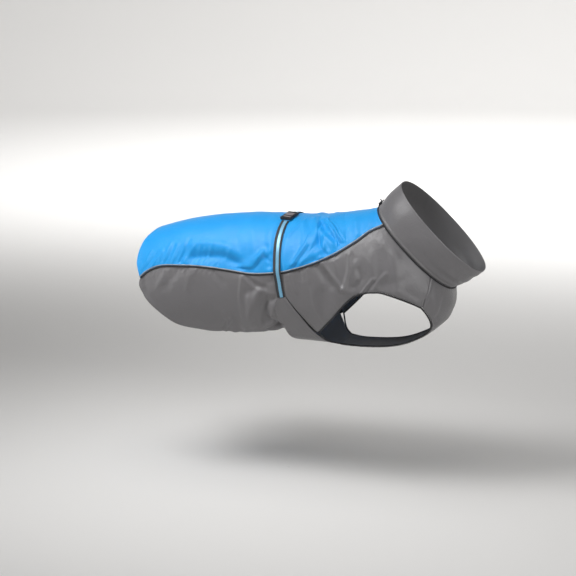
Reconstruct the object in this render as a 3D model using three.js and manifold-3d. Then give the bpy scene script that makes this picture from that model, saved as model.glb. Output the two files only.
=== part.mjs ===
// Dog raincoat, worn: a hollow coat with a back panel, side panels, a chest piece, a belly band,
// a stand collar and a girth strap with a side-release buckle on the back.
// Millimetres. +X points forward to the neck, +Y to the wearer's left, +Z up.
// The origin is on the inner face of the back panel, at its middle, where the back carries the coat.

import * as THREE from 'three';
import { mergeVertices } from 'three/addons/utils/BufferGeometryUtils.js';
import Module from 'manifold-3d';

const wasm = await Module();
wasm.setup();

// Cloth and seam sizes
const wall = 1.7;
const gap = 0.3;
const collarWall = 2;
const bandLift = wall + 0.7;
const roundness = 2.25;

// Trim sizes
const pipingRadius = 1.1;
const tapeWidth = 3.4;
const tapeHeight = 0.9;
const bindingRadius = 1.5;

// Girth strap and buckle sizes
const strap = { width: 16, thick: 1.4, stripWidth: 8, stripThick: 0.7, endTurn: 97.3 };
const strapRise = { height: 2.8, length: 13 };
const buckle = { turn: 12.7, x: 11.5, lean: 11, width: 24, height: 6.4, socket: 17, frame: 8.7, plug: 13 };
const buckleLength = buckle.socket + buckle.frame + buckle.plug + gap;
const tunnel = { width: 19.6, height: 3.6 };
const slot = { width: 17.4, length: 3.2 };
const prong = { x: 7.6, width: 3.2, thick: 2.6, length: 12.5, tongueWidth: 7, nub: 2.4, nubLength: 5 };

// The strap's middle line: how far forward it lies at each turn from the middle of the back
const strapLine = [
  { turn: 0, x: 13 },
  { turn: 13, x: 11.7 },
  { turn: 26, x: 8.6 },
  { turn: 47, x: 8.6 },
  { turn: 64, x: 11 },
  { turn: 78, x: 14.5 },
  { turn: 88, x: 19 },
  { turn: 99, x: 24 },
];

// Cross-sections of the coat's body, from the tail to the neck seam.
// backX, backZ is the middle of the back, bellyX, bellyZ the middle of the underside.
const sections = [
  { backX: -350, backZ: -80, bellyX: -345, bellyZ: -302, half: 104 },
  { backX: -300, backZ: -50, bellyX: -300, bellyZ: -300, half: 112 },
  { backX: -235, backZ: -28.5, bellyX: -240, bellyZ: -294, half: 117 },
  { backX: -155, backZ: -12.5, bellyX: -165, bellyZ: -286, half: 119 },
  { backX: -80, backZ: -4.6, bellyX: -88, bellyZ: -274, half: 119 },
  { backX: -10, backZ: -2.4, bellyX: -8, bellyZ: -261, half: 121 },
  { backX: 60, backZ: -2.2, bellyX: 80, bellyZ: -262, half: 123 },
  { backX: 115, backZ: 4.5, bellyX: 172, bellyZ: -266, half: 122 },
  { backX: 155, backZ: 11, bellyX: 254, bellyZ: -256, half: 118 },
  { backX: 180, backZ: 16.2, bellyX: 318, bellyZ: -221, half: 112 },
  { backX: 190, backZ: 19, bellyX: 350, bellyZ: -176, half: 103 },
  { backX: 197, backZ: 21, bellyX: 352, bellyZ: -132, half: 90 },
];
const neckAt = sections.length - 1;

// Outlines in side view, as [x, z], or from below, as [x, y] after the word below.
const outlines = {
  backHem: [[-291, -41], [-294, -44.5], [-300, -54], [-304, -72], [-305, -90], [-303, -108], [-292, -135]],
  sideSeam: [
    [-292, -135], [-278, -122.5], [-250, -108.5], [-200, -103], [-140, -102], [-90, -105.5],
    [-45, -109], [-10, -106.5], [25, -101.5], [50, -94.5], [92, -79.5], [134, -59], [170, -36],
    [198, -15], [221, -3.5],
  ],
  rearHemCurve: [[-292, -136.5], [-293, -150], [-283, -168], [-266, -189], [-243, -207]],
  sideHem: [[-243, -207], [-215, -227], [-190, -234], [-150, -237.5], [-90, -238], [-30, -236], [18, -227]],
  underStrap: [[25, -101.5], [29, -128], [33, -151]],
  sideRearFront: [[33, -151], [29, -190], [18, -227]],
  flapFront: [[33, -151], [49, -173], [67, -197], [90, -231]],
  sideFrontCorner: [[33, -151], [50, -173], [69, -196], [92, -226]],
  armhole: [
    [92, -226], [106, -212], [123, -194], [147, -166], [172, -141], [195, -132], [225, -129],
    [250, -135], [275, -144], [293, -152], [306, -160],
  ],
  chestSeam: [[320, -109], [315, -132], [306, -160]],
  chestArmhole: [[306, -160], [314, -174], [318.5, -190], [318, -206]],
  chestStrip: [[302, -31], [280, -33], [230, -35], [180, -36], [150, -37], [124, -42]],
  flapTip: [[12, -157], [22, -154.5], [33, -151]],
  flapRear: [[12, -157], [9, -172], [11, -195], [19, -222], [26, -238]],
  bandRearBelow: [[33, -48], [38, -24], [40, 0]],
  bandFrontBelow: [[99, -76], [110, -58], [124, -42]],
};

// Folds of the worn cloth on the right side: a soft line from one point to another in side view.
// Height is positive for a ridge and negative for a hollow; width is half of the fold's width.
const folds = [
  { x1: -160, z1: -78, x2: -78, z2: -92, width: 19, height: -4.5 },
  { x1: -70, z1: -101, x2: -14, z2: -68, width: 9, height: 3.6 },
  { x1: -14, z1: -60, x2: -4, z2: -90, width: 7, height: -3.8 },
  { x1: -210, z1: -40, x2: -120, z2: -55, width: 24, height: 1.8 },
  { x1: 42, z1: -92, x2: 78, z2: -36, width: 8, height: 2.4 },
  { x1: 50, z1: -93, x2: 102, z2: -52, width: 7, height: 2.2 },
  { x1: 98, z1: -14, x2: 92, z2: -46, width: 7, height: -2.6 },
  { x1: 64, z1: 0, x2: 122, z2: -42, width: 6, height: 3.8 },
  { x1: 77, z1: -2, x2: 134, z2: -38, width: 6, height: -3 },
  { x1: 90, z1: 2, x2: 142, z2: -30, width: 6, height: 2.8 },
  { x1: 162, z1: 2, x2: 172, z2: -24, width: 7, height: 1.8 },
  { x1: 6, z1: -120, x2: -52, z2: -150, width: 8, height: 2.4 },
  { x1: -28, z1: -152, x2: -62, z2: -222, width: 10, height: 3.6 },
  { x1: -14, z1: -158, x2: -16, z2: -196, width: 9, height: -3.4 },
  { x1: -4, z1: -206, x2: 14, z2: -222, width: 8, height: -4.5 },
  { x1: -98, z1: -200, x2: -88, z2: -240, width: 8, height: 2.4 },
  { x1: -200, z1: -150, x2: -140, z2: -228, width: 22, height: 2.2 },
  { x1: 132, z1: -72, x2: 158, z2: -128, width: 9, height: 3.6 },
  { x1: 114, z1: -104, x2: 122, z2: -150, width: 11, height: -2.6 },
  { x1: 176, z1: -82, x2: 172, z2: -126, width: 8, height: 2.4 },
  { x1: 208, z1: -60, x2: 214, z2: -118, width: 9, height: 2.2 },
  { x1: 252, z1: -58, x2: 262, z2: -122, width: 10, height: 2.4 },
  { x1: 326, z1: -128, x2: 330, z2: -192, width: 9, height: 2.4 },
];

// Gathers that the hem elastic draws up above the side seam, from the tail forward.
const gathers = { firstX: -266, pitch: 11.6, count: 13, length: 34, lean: 13, height: 2 };

// Soft creases across the collar, as a share of its height, centred on a turn from the nape.
const collarCreases = [
  { turn: 138, spread: 34, up: 0.3, width: 0.13, height: -2.2 },
  { turn: 150, spread: 30, up: 0.62, width: 0.14, height: -2 },
  { turn: 222, spread: 34, up: 0.36, width: 0.14, height: -2 },
  { turn: 208, spread: 26, up: 0.7, width: 0.13, height: -1.7 },
  { turn: 52, spread: 18, up: 0.5, width: 0.5, height: 1.6 },
  { turn: 318, spread: 20, up: 0.45, width: 0.5, height: 1.4 },
];
const collar = { napeX: 47, napeZ: 54, throatX: 60, throatZ: 37, topHalf: 93, roll: 3 };

// Folds narrower than this are held flat at the side seam.
const broadFold = 12;

// Small helpers
const radians = THREE.MathUtils.degToRad;
const clamp = THREE.MathUtils.clamp;
const smooth = THREE.MathUtils.smoothstep;

function signedPower(value, power) {
  return Math.sign(value) * Math.abs(value) ** power;
}

// A column of a table at a place between its rows, as a smooth curve through them
function betweenRows(rows, place, key) {
  const index = clamp(Math.floor(place), 0, rows.length - 2);
  const share = place - index;
  const value = (k) => rows[clamp(k, 0, rows.length - 1)][key];
  const before = value(index - 1);
  const from = value(index);
  const to = value(index + 1);
  const after = value(index + 2);
  const bend = (2 * before - 5 * from + 4 * to - after) * share * share;
  const twist = (3 * from - before - 3 * to + after) * share ** 3;
  return 0.5 * (2 * from + (to - before) * share + bend + twist);
}

const sectionSize = (at, key) => betweenRows(sections, at, key);

// A point of the smooth body; turn runs in degrees from the middle of the back, right side first.
function bodyPoint(at, turn) {
  const angle = radians(turn);
  const high = signedPower(Math.cos(angle), 2 / roundness);
  const wide = signedPower(Math.sin(angle), 2 / roundness);
  const backX = sectionSize(at, 'backX');
  const backZ = sectionSize(at, 'backZ');
  const bellyX = sectionSize(at, 'bellyX');
  const bellyZ = sectionSize(at, 'bellyZ');
  return new THREE.Vector3(
    (backX + bellyX) / 2 + ((backX - bellyX) / 2) * high,
    -sectionSize(at, 'half') * wide,
    (backZ + bellyZ) / 2 + ((backZ - bellyZ) / 2) * high,
  );
}

function bodyNormal(at, turn) {
  const stepAt = 0.04;
  const stepTurn = 1.5;
  const along = bodyPoint(at + stepAt, turn).sub(bodyPoint(at - stepAt, turn));
  const around = bodyPoint(at, turn + stepTurn).sub(bodyPoint(at, turn - stepTurn));
  return around.cross(along).normalize();
}

// The place [at, turn] on the right side that has these side-view coordinates.
function fromSide([x, z]) {
  const offLine = (at) => {
    const backX = sectionSize(at, 'backX');
    const backZ = sectionSize(at, 'backZ');
    const downX = sectionSize(at, 'bellyX') - backX;
    const downZ = sectionSize(at, 'bellyZ') - backZ;
    return (x - backX) * downZ - (z - backZ) * downX;
  };
  let low = 0;
  let high = neckAt;
  while (high - low > 1e-6) {
    const middle = (low + high) / 2;
    if (offLine(middle) < 0) low = middle;
    else high = middle;
  }
  const at = (low + high) / 2;
  const back = new THREE.Vector2(sectionSize(at, 'backX'), sectionSize(at, 'backZ'));
  const down = new THREE.Vector2(sectionSize(at, 'bellyX'), sectionSize(at, 'bellyZ')).sub(back);
  const share = new THREE.Vector2(x, z).sub(back).dot(down) / down.lengthSq();
  const cosine = signedPower(clamp(1 - 2 * share, -1, 1), roundness / 2);
  return [at, THREE.MathUtils.radToDeg(Math.acos(cosine))];
}

// The place [at, turn] on the underside that has these coordinates from below.
function fromBelow([x, y]) {
  const turnAt = (at) => {
    const sine = clamp(Math.abs(y) / sectionSize(at, 'half'), 0, 1) ** (roundness / 2);
    return 180 - THREE.MathUtils.radToDeg(Math.asin(sine));
  };
  let low = 3;
  let high = neckAt;
  while (high - low > 1e-6) {
    const middle = (low + high) / 2;
    if (bodyPoint(middle, turnAt(middle)).x < x) low = middle;
    else high = middle;
  }
  return [low, turnAt(low)];
}

// Folds are measured in side view, with the left side a little different from the right.
const bothSidesFolds = { right: folds, left: folds.map(leftFold) };

function leftFold(fold, index) {
  const shift = 7 * Math.sin(2.3 * index + 0.6);
  const share = 0.82 + 0.18 * Math.cos(1.7 * index);
  return {
    ...fold,
    x1: fold.x1 + shift,
    x2: fold.x2 + 0.4 * shift,
    height: fold.height * share,
  };
}

function foldAt(fold, x, z) {
  const alongX = fold.x2 - fold.x1;
  const alongZ = fold.z2 - fold.z1;
  const length = Math.hypot(alongX, alongZ);
  const share = ((x - fold.x1) * alongX + (z - fold.z1) * alongZ) / (length * length);
  const aside = ((x - fold.x1) * alongZ - (z - fold.z1) * alongX) / length;
  const past = Math.max(0, -share, share - 1) * length;
  return fold.height * Math.exp(-((aside / fold.width) ** 2) - (past / (1.6 * fold.width)) ** 2);
}

const sideSeamPlaces = outlines.sideSeam.map(fromSide);

function seamTurnAt(at) {
  const next = sideSeamPlaces.findIndex((place) => place[0] > at);
  if (next <= 0) return sideSeamPlaces[next === 0 ? 0 : sideSeamPlaces.length - 1][1];
  const [fromAt, fromTurn] = sideSeamPlaces[next - 1];
  const [toAt, toTurn] = sideSeamPlaces[next];
  return fromTurn + ((toTurn - fromTurn) * (at - fromAt)) / (toAt - fromAt);
}

// Millimetres of girth in one degree of turn
const turnLength = (at) => radians(sectionSize(at, 'half'));

function gatherHeight(at, turn, x) {
  const above = (seamTurnAt(at) - turn) * turnLength(at);
  if (above < -2 * gathers.length) return 0;
  const held = smooth(Math.abs(above), 3, 11);
  const phase = (x - gathers.firstX - (gathers.lean * above) / gathers.length) / gathers.pitch;
  const inRow = smooth(phase, -0.6, 0.6) * (1 - smooth(phase, gathers.count - 0.6, gathers.count + 0.6));
  const uneven = 0.7 + 0.3 * Math.sin(2.1 * Math.round(phase) + 0.7);
  const reach = gathers.length * (0.75 + 0.25 * Math.cos(1.3 * Math.round(phase)));
  const fade = above > 0 ? 1 - smooth(above, 0.35 * reach, reach) : Math.exp(-((above / 9) ** 2));
  return gathers.height * held * uneven * inRow * fade * Math.cos(2 * Math.PI * phase);
}

// The height of the folds over the smooth body; they die out under the strap and at the neck seam.
function foldHeight(at, turn) {
  const point = bodyPoint(at, turn);
  const left = Math.sin(radians(turn)) < 0;
  const ownTurn = left ? Math.acos(Math.cos(radians(turn))) * (180 / Math.PI) : turn;
  const list = left ? bothSidesFolds.left : bothSidesFolds.right;
  let height = gatherHeight(at, ownTurn, point.x);
  const toSeam = Math.abs(seamTurnAt(at) - ownTurn) * turnLength(at);
  for (const fold of list) {
    const held = fold.width < broadFold ? smooth(toSeam, 4, 13) : 1;
    height += held * foldAt(fold, point.x, point.z);
  }
  const fromStrap = Math.abs(point.x - strapX(ownTurn));
  const clearOfStrap = ownTurn < 108 ? smooth(fromStrap, 9, 20) : 1;
  const clearOfNeck = 1 - smooth(at, neckAt - 1.2, neckAt - 0.1);
  const clearOfRidge = smooth(ownTurn, 0, 16);
  return height * clearOfStrap * clearOfNeck * clearOfRidge;
}

// A point of the cloth's inner face, raised by lift.
function clothPoint(at, turn, lift) {
  const point = bodyPoint(at, turn);
  return point.addScaledVector(bodyNormal(at, turn), foldHeight(at, turn) + lift);
}

function strapX(turn) {
  const own = clamp(Math.abs(turn), 0, strapLine[strapLine.length - 1].turn);
  const next = Math.max(1, strapLine.findIndex((row) => row.turn >= own));
  const from = strapLine[next - 1];
  const to = strapLine[next];
  return betweenRows(strapLine, next - 1 + (own - from.turn) / (to.turn - from.turn), 'x');
}

// Edge curves in the plane of [at, turn], spaced by their length on the cloth
function edge(places) {
  const atScale = 30;
  const knots = places.map(([at, turn]) => new THREE.Vector3(at * atScale, turn, 0));
  const curve = new THREE.CatmullRomCurve3(knots, false, 'centripetal');
  const dense = curve.getPoints(places.length * 10).map((knot) => [knot.x / atScale, knot.y]);
  const points = dense.map(([at, turn]) => bodyPoint(at, turn));
  const lengths = [0];
  for (let i = 1; i < points.length; i += 1) {
    lengths.push(lengths[i - 1] + points[i].distanceTo(points[i - 1]));
  }
  const total = lengths[lengths.length - 1];
  const place = (share) => {
    const wanted = clamp(share, 0, 1) * total;
    let next = 1;
    while (next < lengths.length - 1 && lengths[next] < wanted) next += 1;
    const part = (wanted - lengths[next - 1]) / (lengths[next] - lengths[next - 1]);
    return [0, 1].map((k) => dense[next - 1][k] + part * (dense[next][k] - dense[next - 1][k]));
  };
  return Object.assign(place, { total });
}

// The share of a curve at which it reaches a place along the body.
function shareAt(curve, at) {
  let low = 0;
  let high = 1;
  while (high - low > 1e-6) {
    const middle = (low + high) / 2;
    if (curve(middle)[0] < at) low = middle;
    else high = middle;
  }
  return low;
}

// Two or more curves end to end, with a corner at each given share.
function joined(curves, shares) {
  const stops = [0, ...shares, 1];
  return (share) => {
    let part = 0;
    while (part < curves.length - 1 && share > stops[part + 1]) part += 1;
    return curves[part]((share - stops[part]) / (stops[part + 1] - stops[part]));
  };
}

const reversed = (curve) => (share) => curve(1 - share);
const mirrored = (curve) => (share) => {
  const [at, turn] = curve(share);
  return [at, 360 - turn];
};
const neckCurve = (from, to) => (share) => [neckAt, from + (to - from) * share];

function patch(first, last, start, end) {
  return (s, t) => [0, 1].map((k) => {
    const across = (1 - t) * first(s)[k] + t * last(s)[k];
    const along = (1 - s) * start(t)[k] + s * end(t)[k];
    const corners = (1 - s) * (1 - t) * first(0)[k] + s * (1 - t) * first(1)[k]
      + (1 - s) * t * last(0)[k] + s * t * last(1)[k];
    return across + along - corners;
  });
}

// Closed meshes
function meshOf(name, points, faces, material) {
  let volume = 0;
  for (const [a, b, c] of faces) {
    volume += points[a].dot(points[b].clone().cross(points[c]));
  }
  const ordered = volume < 0 ? faces.map(([a, b, c]) => [a, c, b]) : faces;
  const geometry = new THREE.BufferGeometry();
  geometry.setAttribute('position', new THREE.Float32BufferAttribute(points.flatMap((p) => p.toArray()), 3));
  geometry.setIndex(ordered.flat());
  geometry.computeVertexNormals();
  const mesh = new THREE.Mesh(geometry, material);
  mesh.name = name;
  return mesh;
}

// A wall over a grid: pointAt gives the inner and outer point of column i and row j.
function gridWall(name, columns, rows, pointAt, material, ring = false) {
  const points = [];
  const faces = [];
  for (const outer of [0, 1]) {
    for (let i = 0; i < columns; i += 1) {
      for (let j = 0; j < rows; j += 1) points.push(pointAt(i, j, outer));
    }
  }
  const index = (i, j, outer) => outer * columns * rows + (i % columns) * rows + j;
  const quad = (a, b, c, d) => faces.push([a, b, c], [a, c, d]);
  const spans = ring ? columns : columns - 1;
  for (let i = 0; i < spans; i += 1) {
    for (let j = 0; j < rows - 1; j += 1) {
      quad(index(i, j, 1), index(i + 1, j, 1), index(i + 1, j + 1, 1), index(i, j + 1, 1));
      quad(index(i, j, 0), index(i, j + 1, 0), index(i + 1, j + 1, 0), index(i + 1, j, 0));
    }
    quad(index(i, 0, 0), index(i + 1, 0, 0), index(i + 1, 0, 1), index(i, 0, 1));
    quad(index(i, rows - 1, 0), index(i, rows - 1, 1), index(i + 1, rows - 1, 1), index(i + 1, rows - 1, 0));
  }
  for (let j = 0; !ring && j < rows - 1; j += 1) {
    const last = columns - 1;
    quad(index(0, j, 0), index(0, j, 1), index(0, j + 1, 1), index(0, j + 1, 0));
    quad(index(last, j, 0), index(last, j + 1, 0), index(last, j + 1, 1), index(last, j, 1));
  }
  return meshOf(name, points, faces, material);
}

function panel(name, surface, columnShares, rowShares, material, liftAt = () => 0) {
  const pointAt = (i, j, outer) => {
    const [at, turn] = surface(columnShares[i], rowShares[j]);
    return clothPoint(at, turn, liftAt(turn) + outer * wall);
  };
  return gridWall(name, columnShares.length, rowShares.length, pointAt, material);
}

function even(count, from = 0, to = 1) {
  return Array.from({ length: count + 1 }, (_, i) => from + ((to - from) * i) / count);
}

// A section carried along frames; each section point is [across, up].
function sweep(name, frames, section, material, ring = false) {
  const size = section.length;
  const points = frames.flatMap(({ point, up, across }) => section.map(([side, height]) => point
    .clone()
    .addScaledVector(across, side)
    .addScaledVector(up, height)));
  const faces = [];
  const spans = ring ? frames.length : frames.length - 1;
  for (let i = 0; i < spans; i += 1) {
    const here = i * size;
    const there = ((i + 1) % frames.length) * size;
    for (let k = 0; k < size; k += 1) {
      const next = (k + 1) % size;
      faces.push([here + k, there + k, there + next], [here + k, there + next, here + next]);
    }
  }
  const end = (frames.length - 1) * size;
  for (let k = 1; !ring && k < size - 1; k += 1) {
    faces.push([0, k, k + 1], [end, end + k + 1, end + k]);
  }
  return meshOf(name, points, faces, material);
}

const box = (left, right, low, high) => [[left, low], [right, low], [right, high], [left, high]];

function circle(radius, sides, side = 0, height = 0) {
  return Array.from({ length: sides }, (_, k) => {
    const angle = (2 * Math.PI * (k + 0.5)) / sides;
    return [side + radius * Math.cos(angle), height + radius * Math.sin(angle)];
  });
}

// Frames along a curve on the cloth: up leaves the cloth, across lies in it, to the curve's right.
function framesOn(curve, shares, liftAt, ring = false) {
  const spot = (share) => {
    const [at, turn] = curve(share);
    return { point: clothPoint(at, turn, liftAt(share, turn)), up: bodyNormal(at, turn) };
  };
  const spots = shares.map(spot);
  return spots.map(({ point, up }, i) => {
    const last = spots.length - 1;
    const before = spots[i > 0 ? i - 1 : ring ? last : 0].point;
    const after = spots[i < last ? i + 1 : ring ? 0 : last].point;
    const along = after.clone().sub(before).normalize();
    const turnShare = Math.abs(along.dot(after.clone().sub(point).normalize()));
    const mitre = 1 / clamp(i < last || ring ? turnShare : 1, 0.7, 1);
    return { point, up, across: along.clone().cross(up).normalize().multiplyScalar(mitre) };
  });
}

function roundedRectangle(width, height, radius) {
  const x = width / 2;
  const y = height / 2;
  const shape = new THREE.Shape();
  shape.moveTo(-x + radius, -y);
  shape.lineTo(x - radius, -y);
  shape.absarc(x - radius, -y + radius, radius, -Math.PI / 2, 0);
  shape.lineTo(x, y - radius);
  shape.absarc(x - radius, y - radius, radius, 0, Math.PI / 2);
  shape.lineTo(-x + radius, y);
  shape.absarc(-x + radius, y - radius, radius, Math.PI / 2, Math.PI);
  shape.lineTo(-x, -y + radius);
  shape.absarc(-x + radius, -y + radius, radius, Math.PI, 1.5 * Math.PI);
  return shape;
}

// Materials
function material(color, roughness, metalness = 0) {
  return new THREE.MeshStandardMaterial({ color, roughness, metalness, side: THREE.FrontSide });
}
const blueShell = material(0x3aa4ea, 0.55);
const greyShell = material(0x6c6a6d, 0.6);
const blackTrim = material(0x121315, 0.7);
const reflective = material(0xaab4bb, 0.4, 0.2);
const webbing = material(0x16181b, 0.85);
const plastic = material(0x1b1c1e, 0.45);

// Seam and hem curves, all on the right side
const places = Object.fromEntries(
  Object.entries(outlines).map(([name, rows]) => [
    name,
    rows.map(name === 'chestStrip' || name.endsWith('Below') ? fromBelow : fromSide),
  ]),
);
places.sideSeam[places.sideSeam.length - 1][0] = neckAt;
places.chestSeam[0][0] = neckAt;
const seamTurn = places.sideSeam[places.sideSeam.length - 1][1];
const chestTurn = places.chestSeam[0][1];
const sideSeam = edge(places.sideSeam);
const seamSplit = shareAt(sideSeam, places.underStrap[0][0]);
const seamRear = (share) => sideSeam(share * seamSplit);
const seamFront = (share) => sideSeam(seamSplit + share * (1 - seamSplit));

// Half of the seam gap, as a step in turn or in place along the body, keeps neighbours apart.
const halfGapTurn = 0.16;
const halfGapAt = 0.006;
const moved = (curve, stepAt, stepTurn) => (share) => {
  const [at, turn] = curve(share);
  return [at + stepAt, turn + stepTurn];
};

const parts = [];

// Curves and grid counts that the leg openings' bindings share with the panels
const sideFrontColumns = 20;
const chestRows = 20;
const chestSeamShare = 0.2;
const bandColumns = 32;
const bandCorner = 0.375;
const bandStart = 0.28125;
const overFront = edge(places.armhole);
const chestFree = edge([...places.chestArmhole, ...places.chestStrip]);
const stripEnd = places.chestStrip[places.chestStrip.length - 1];

// The belly band lies outside the rear side panels where it overlaps them.
function overlapLift(turn) {
  const own = turn > 180 ? 360 - turn : turn;
  return bandLift * (1 - smooth(own, 144, 162));
}

const bandFrontHalf = edge([...places.flapFront, ...places.bandFrontBelow]);
const bandFrontMiddle = (share) => [stripEnd[0] - halfGapAt, stripEnd[1] + (360 - 2 * stripEnd[1]) * share];
const bandFront = joined(
  [bandFrontHalf, bandFrontMiddle, reversed(mirrored(bandFrontHalf))],
  [bandCorner, 1 - bandCorner],
);

// Back panel: from the tail hem to the neck seam, between the two side seams.
{
  const overBack = ([at, turn]) => [at, -turn];
  const [ridge, ...rightHem] = places.backHem;
  const tail = edge([...rightHem.map(overBack).reverse(), [ridge[0], 0], ...rightHem]);
  const rightSeam = moved(sideSeam, 0, -halfGapTurn);
  const leftSeam = (share) => overBack(rightSeam(share));
  const neck = (share) => [neckAt - halfGapAt, (seamTurn - halfGapTurn) * (2 * share - 1)];
  const surface = patch(leftSeam, rightSeam, tail, neck);
  const gatherEnd = 0.36;
  const along = [...even(gathers.count * 3, 0, gatherEnd), ...even(21, gatherEnd, 1).slice(1)];
  const nearSeam = [0, 0.025, 0.055, 0.09, 0.14, 0.21];
  const middle = [0.31, 0.41, 0.5, 0.59, 0.69];
  const across = [...nearSeam, ...middle, ...nearSeam.map((share) => 1 - share).reverse()];
  parts.push(panel('back_panel', surface, along, across, blueShell));
}

for (const side of ['R', 'L']) {
  const own = side === 'R' ? (curve) => curve : mirrored;

  // Rear side panel, from the side seam down to the hem, its front edge under the strap and flap.
  {
    const top = moved(seamRear, -halfGapAt, halfGapTurn);
    const bottom = edge(places.sideHem);
    const rear = edge(places.rearHemCurve);
    const front = joined(
      [moved(edge(places.underStrap), -halfGapAt, 0), moved(edge(places.sideRearFront), -halfGapAt, 0)],
      [0.5],
    );
    const toCorner = [0, 1].map((k) => rear(0)[k] - top(0)[k]);
    const trimmedTop = (share) => [0, 1].map((k) => top(share)[k] + toCorner[k] * (1 - share) ** 12);
    const surface = patch(own(trimmedTop), own(bottom), own(rear), own(front));
    parts.push(panel(`side_rear_${side}`, surface, even(26), even(8), greyShell));
  }

  // Front side panel, from the strap to the neck seam and chest seam, over the leg opening.
  {
    const rear = joined(
      [moved(edge(places.underStrap), halfGapAt, 0), moved(edge(places.sideFrontCorner), halfGapAt, 0)],
      [0.4],
    );
    const top = moved(seamFront, halfGapAt, halfGapTurn);
    const neck = moved(neckCurve(seamTurn, chestTurn), -halfGapAt, halfGapTurn);
    const chest = moved(edge(places.chestSeam), -halfGapAt, -halfGapTurn);
    const front = joined([neck, chest], [0.7]);
    const surface = patch(own(top), own(overFront), own(rear), own(front));
    parts.push(panel(`side_front_${side}`, surface, even(sideFrontColumns), even(10), greyShell));
  }
}

// Chest piece: a bib from the neck seam that narrows to a strip between the forelegs.
{
  const seam = moved(edge(places.chestSeam), -halfGapAt, halfGapTurn);
  const right = joined([seam, chestFree], [chestSeamShare]);
  const neck = moved(neckCurve(chestTurn + halfGapTurn, 360 - chestTurn - halfGapTurn), -halfGapAt, 0);
  const end = (share) => [stripEnd[0] + halfGapAt, stripEnd[1] + (360 - 2 * stripEnd[1]) * share];
  const surface = patch(neck, end, right, mirrored(right));
  parts.push(panel('chest_panel', surface, even(12), even(chestRows), greyShell));
}

// Belly band: crosses under the body and rises on each side as a flap to the strap's end.
{
  const rearHalf = [...places.flapRear, ...places.bandRearBelow];
  const underside = rearHalf.slice(0, -1).reverse().map(([at, turn]) => [at, 360 - turn]);
  const rear = edge([...rearHalf, ...underside]);
  const tip = edge(places.flapTip);
  const surface = patch(rear, bandFront, tip, mirrored(tip));
  parts.push(panel('belly_panel', surface, even(bandColumns), even(6), greyShell, overlapLift));
}

// Stand collar on the neck seam
function collarPoint(turn, up, lift) {
  const base = bodyPoint(neckAt, turn);
  const forward = (1 - Math.cos(radians(turn))) / 2;
  const centre = bodyPoint(neckAt, 0).add(bodyPoint(neckAt, 180)).multiplyScalar(0.5);
  const radial = base.clone().sub(centre).normalize();
  const outward = bodyNormal(neckAt, turn).lerp(radial, smooth(up, 0, 0.3)).normalize();
  const rise = new THREE.Vector3(
    THREE.MathUtils.lerp(collar.napeX, collar.throatX, forward),
    0,
    THREE.MathUtils.lerp(collar.napeZ, collar.throatZ, forward),
  );
  const spread = collar.topHalf / sections[neckAt].half;
  const point = base.addScaledVector(rise, up);
  point.y *= 1 + (spread - 1) * up;
  let height = collar.roll * Math.sin(Math.PI * up);
  for (const crease of collarCreases) {
    const aside = (turn - crease.turn) / crease.spread;
    height += crease.height * Math.exp(-(aside ** 2) - ((up - crease.up) / crease.width) ** 2);
  }
  return point.addScaledVector(outward, height * Math.sin(Math.PI * clamp(up, 0, 1)) ** 0.5 + lift);
}
const collarStart = 0.008;
const collarColumns = 44;
const collarRows = 7;
parts.push(gridWall(
  'collar',
  collarColumns,
  collarRows + 1,
  (i, j, outer) => collarPoint(
    (360 * i) / collarColumns,
    collarStart + ((1 - collarStart) * j) / collarRows,
    outer * collarWall,
  ),
  greyShell,
  true,
));

// Reflective piping over the side seam, with a black tape below it
const trimLift = wall + gap + 0.45;
for (const side of ['R', 'L']) {
  const own = side === 'R' ? sideSeam : mirrored(sideSeam);
  const sign = side === 'R' ? 1 : -1;
  const frames = framesOn(own, even(44, 0.004, 0.985), () => trimLift);
  const above = circle(pipingRadius, 5, -sign * (pipingRadius + 0.2), pipingRadius);
  const below = box(sign * 0.2, sign * (0.2 + tapeWidth), 0, tapeHeight);
  parts.push(sweep(`side_piping_${side}`, frames, above, reflective));
  parts.push(sweep(`side_tape_${side}`, frames, below, blackTrim));
}

// Leg opening bindings: one round each opening, just off the edges of the cloth that it binds
for (const side of ['R', 'L']) {
  const own = side === 'R' ? (curve) => curve : mirrored;
  const sign = side === 'R' ? 1 : -1;
  const bandEdge = (share) => bandFront(bandStart + share * (bandCorner - bandStart));
  const stretches = [
    { curve: overFront, steps: sideFrontColumns, lift: () => 0 },
    { curve: chestFree, steps: chestRows * (1 - chestSeamShare), lift: () => 0 },
    { curve: reversed(bandEdge), steps: 4, lift: (turn) => overlapLift(turn) },
  ];
  const frames = framesOn(
    (share) => {
      const index = Math.min(Math.floor(share * stretches.length + 1e-9), stretches.length - 1);
      return own(stretches[index].curve)(share * stretches.length - index);
    },
    stretches.flatMap(({ steps }, k) => even(steps, k / 3, (k + 1) / 3).slice(0, -1)),
    (share, turn) => wall / 2 + stretches[Math.min(Math.floor(share * 3 + 1e-9), 2)].lift(turn),
    true,
  );
  const section = circle(bindingRadius, 5, sign * (bindingRadius + gap + 0.2), 0);
  parts.push(sweep(`leg_binding_${side}`, frames, section, blackTrim, true));
}

// Girth strap: from each flap up over the back panel to the buckle, with a reflective strip on it
function placeAtX(x, turn) {
  let low = 3;
  let high = neckAt;
  while (high - low > 1e-6) {
    const middle = (low + high) / 2;
    if (bodyPoint(middle, turn).x < x) low = middle;
    else high = middle;
  }
  return [low, turn];
}

const strapCurve = (share) => {
  const turn = strap.endTurn * share;
  return placeAtX(strapX(turn), turn);
};

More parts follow.
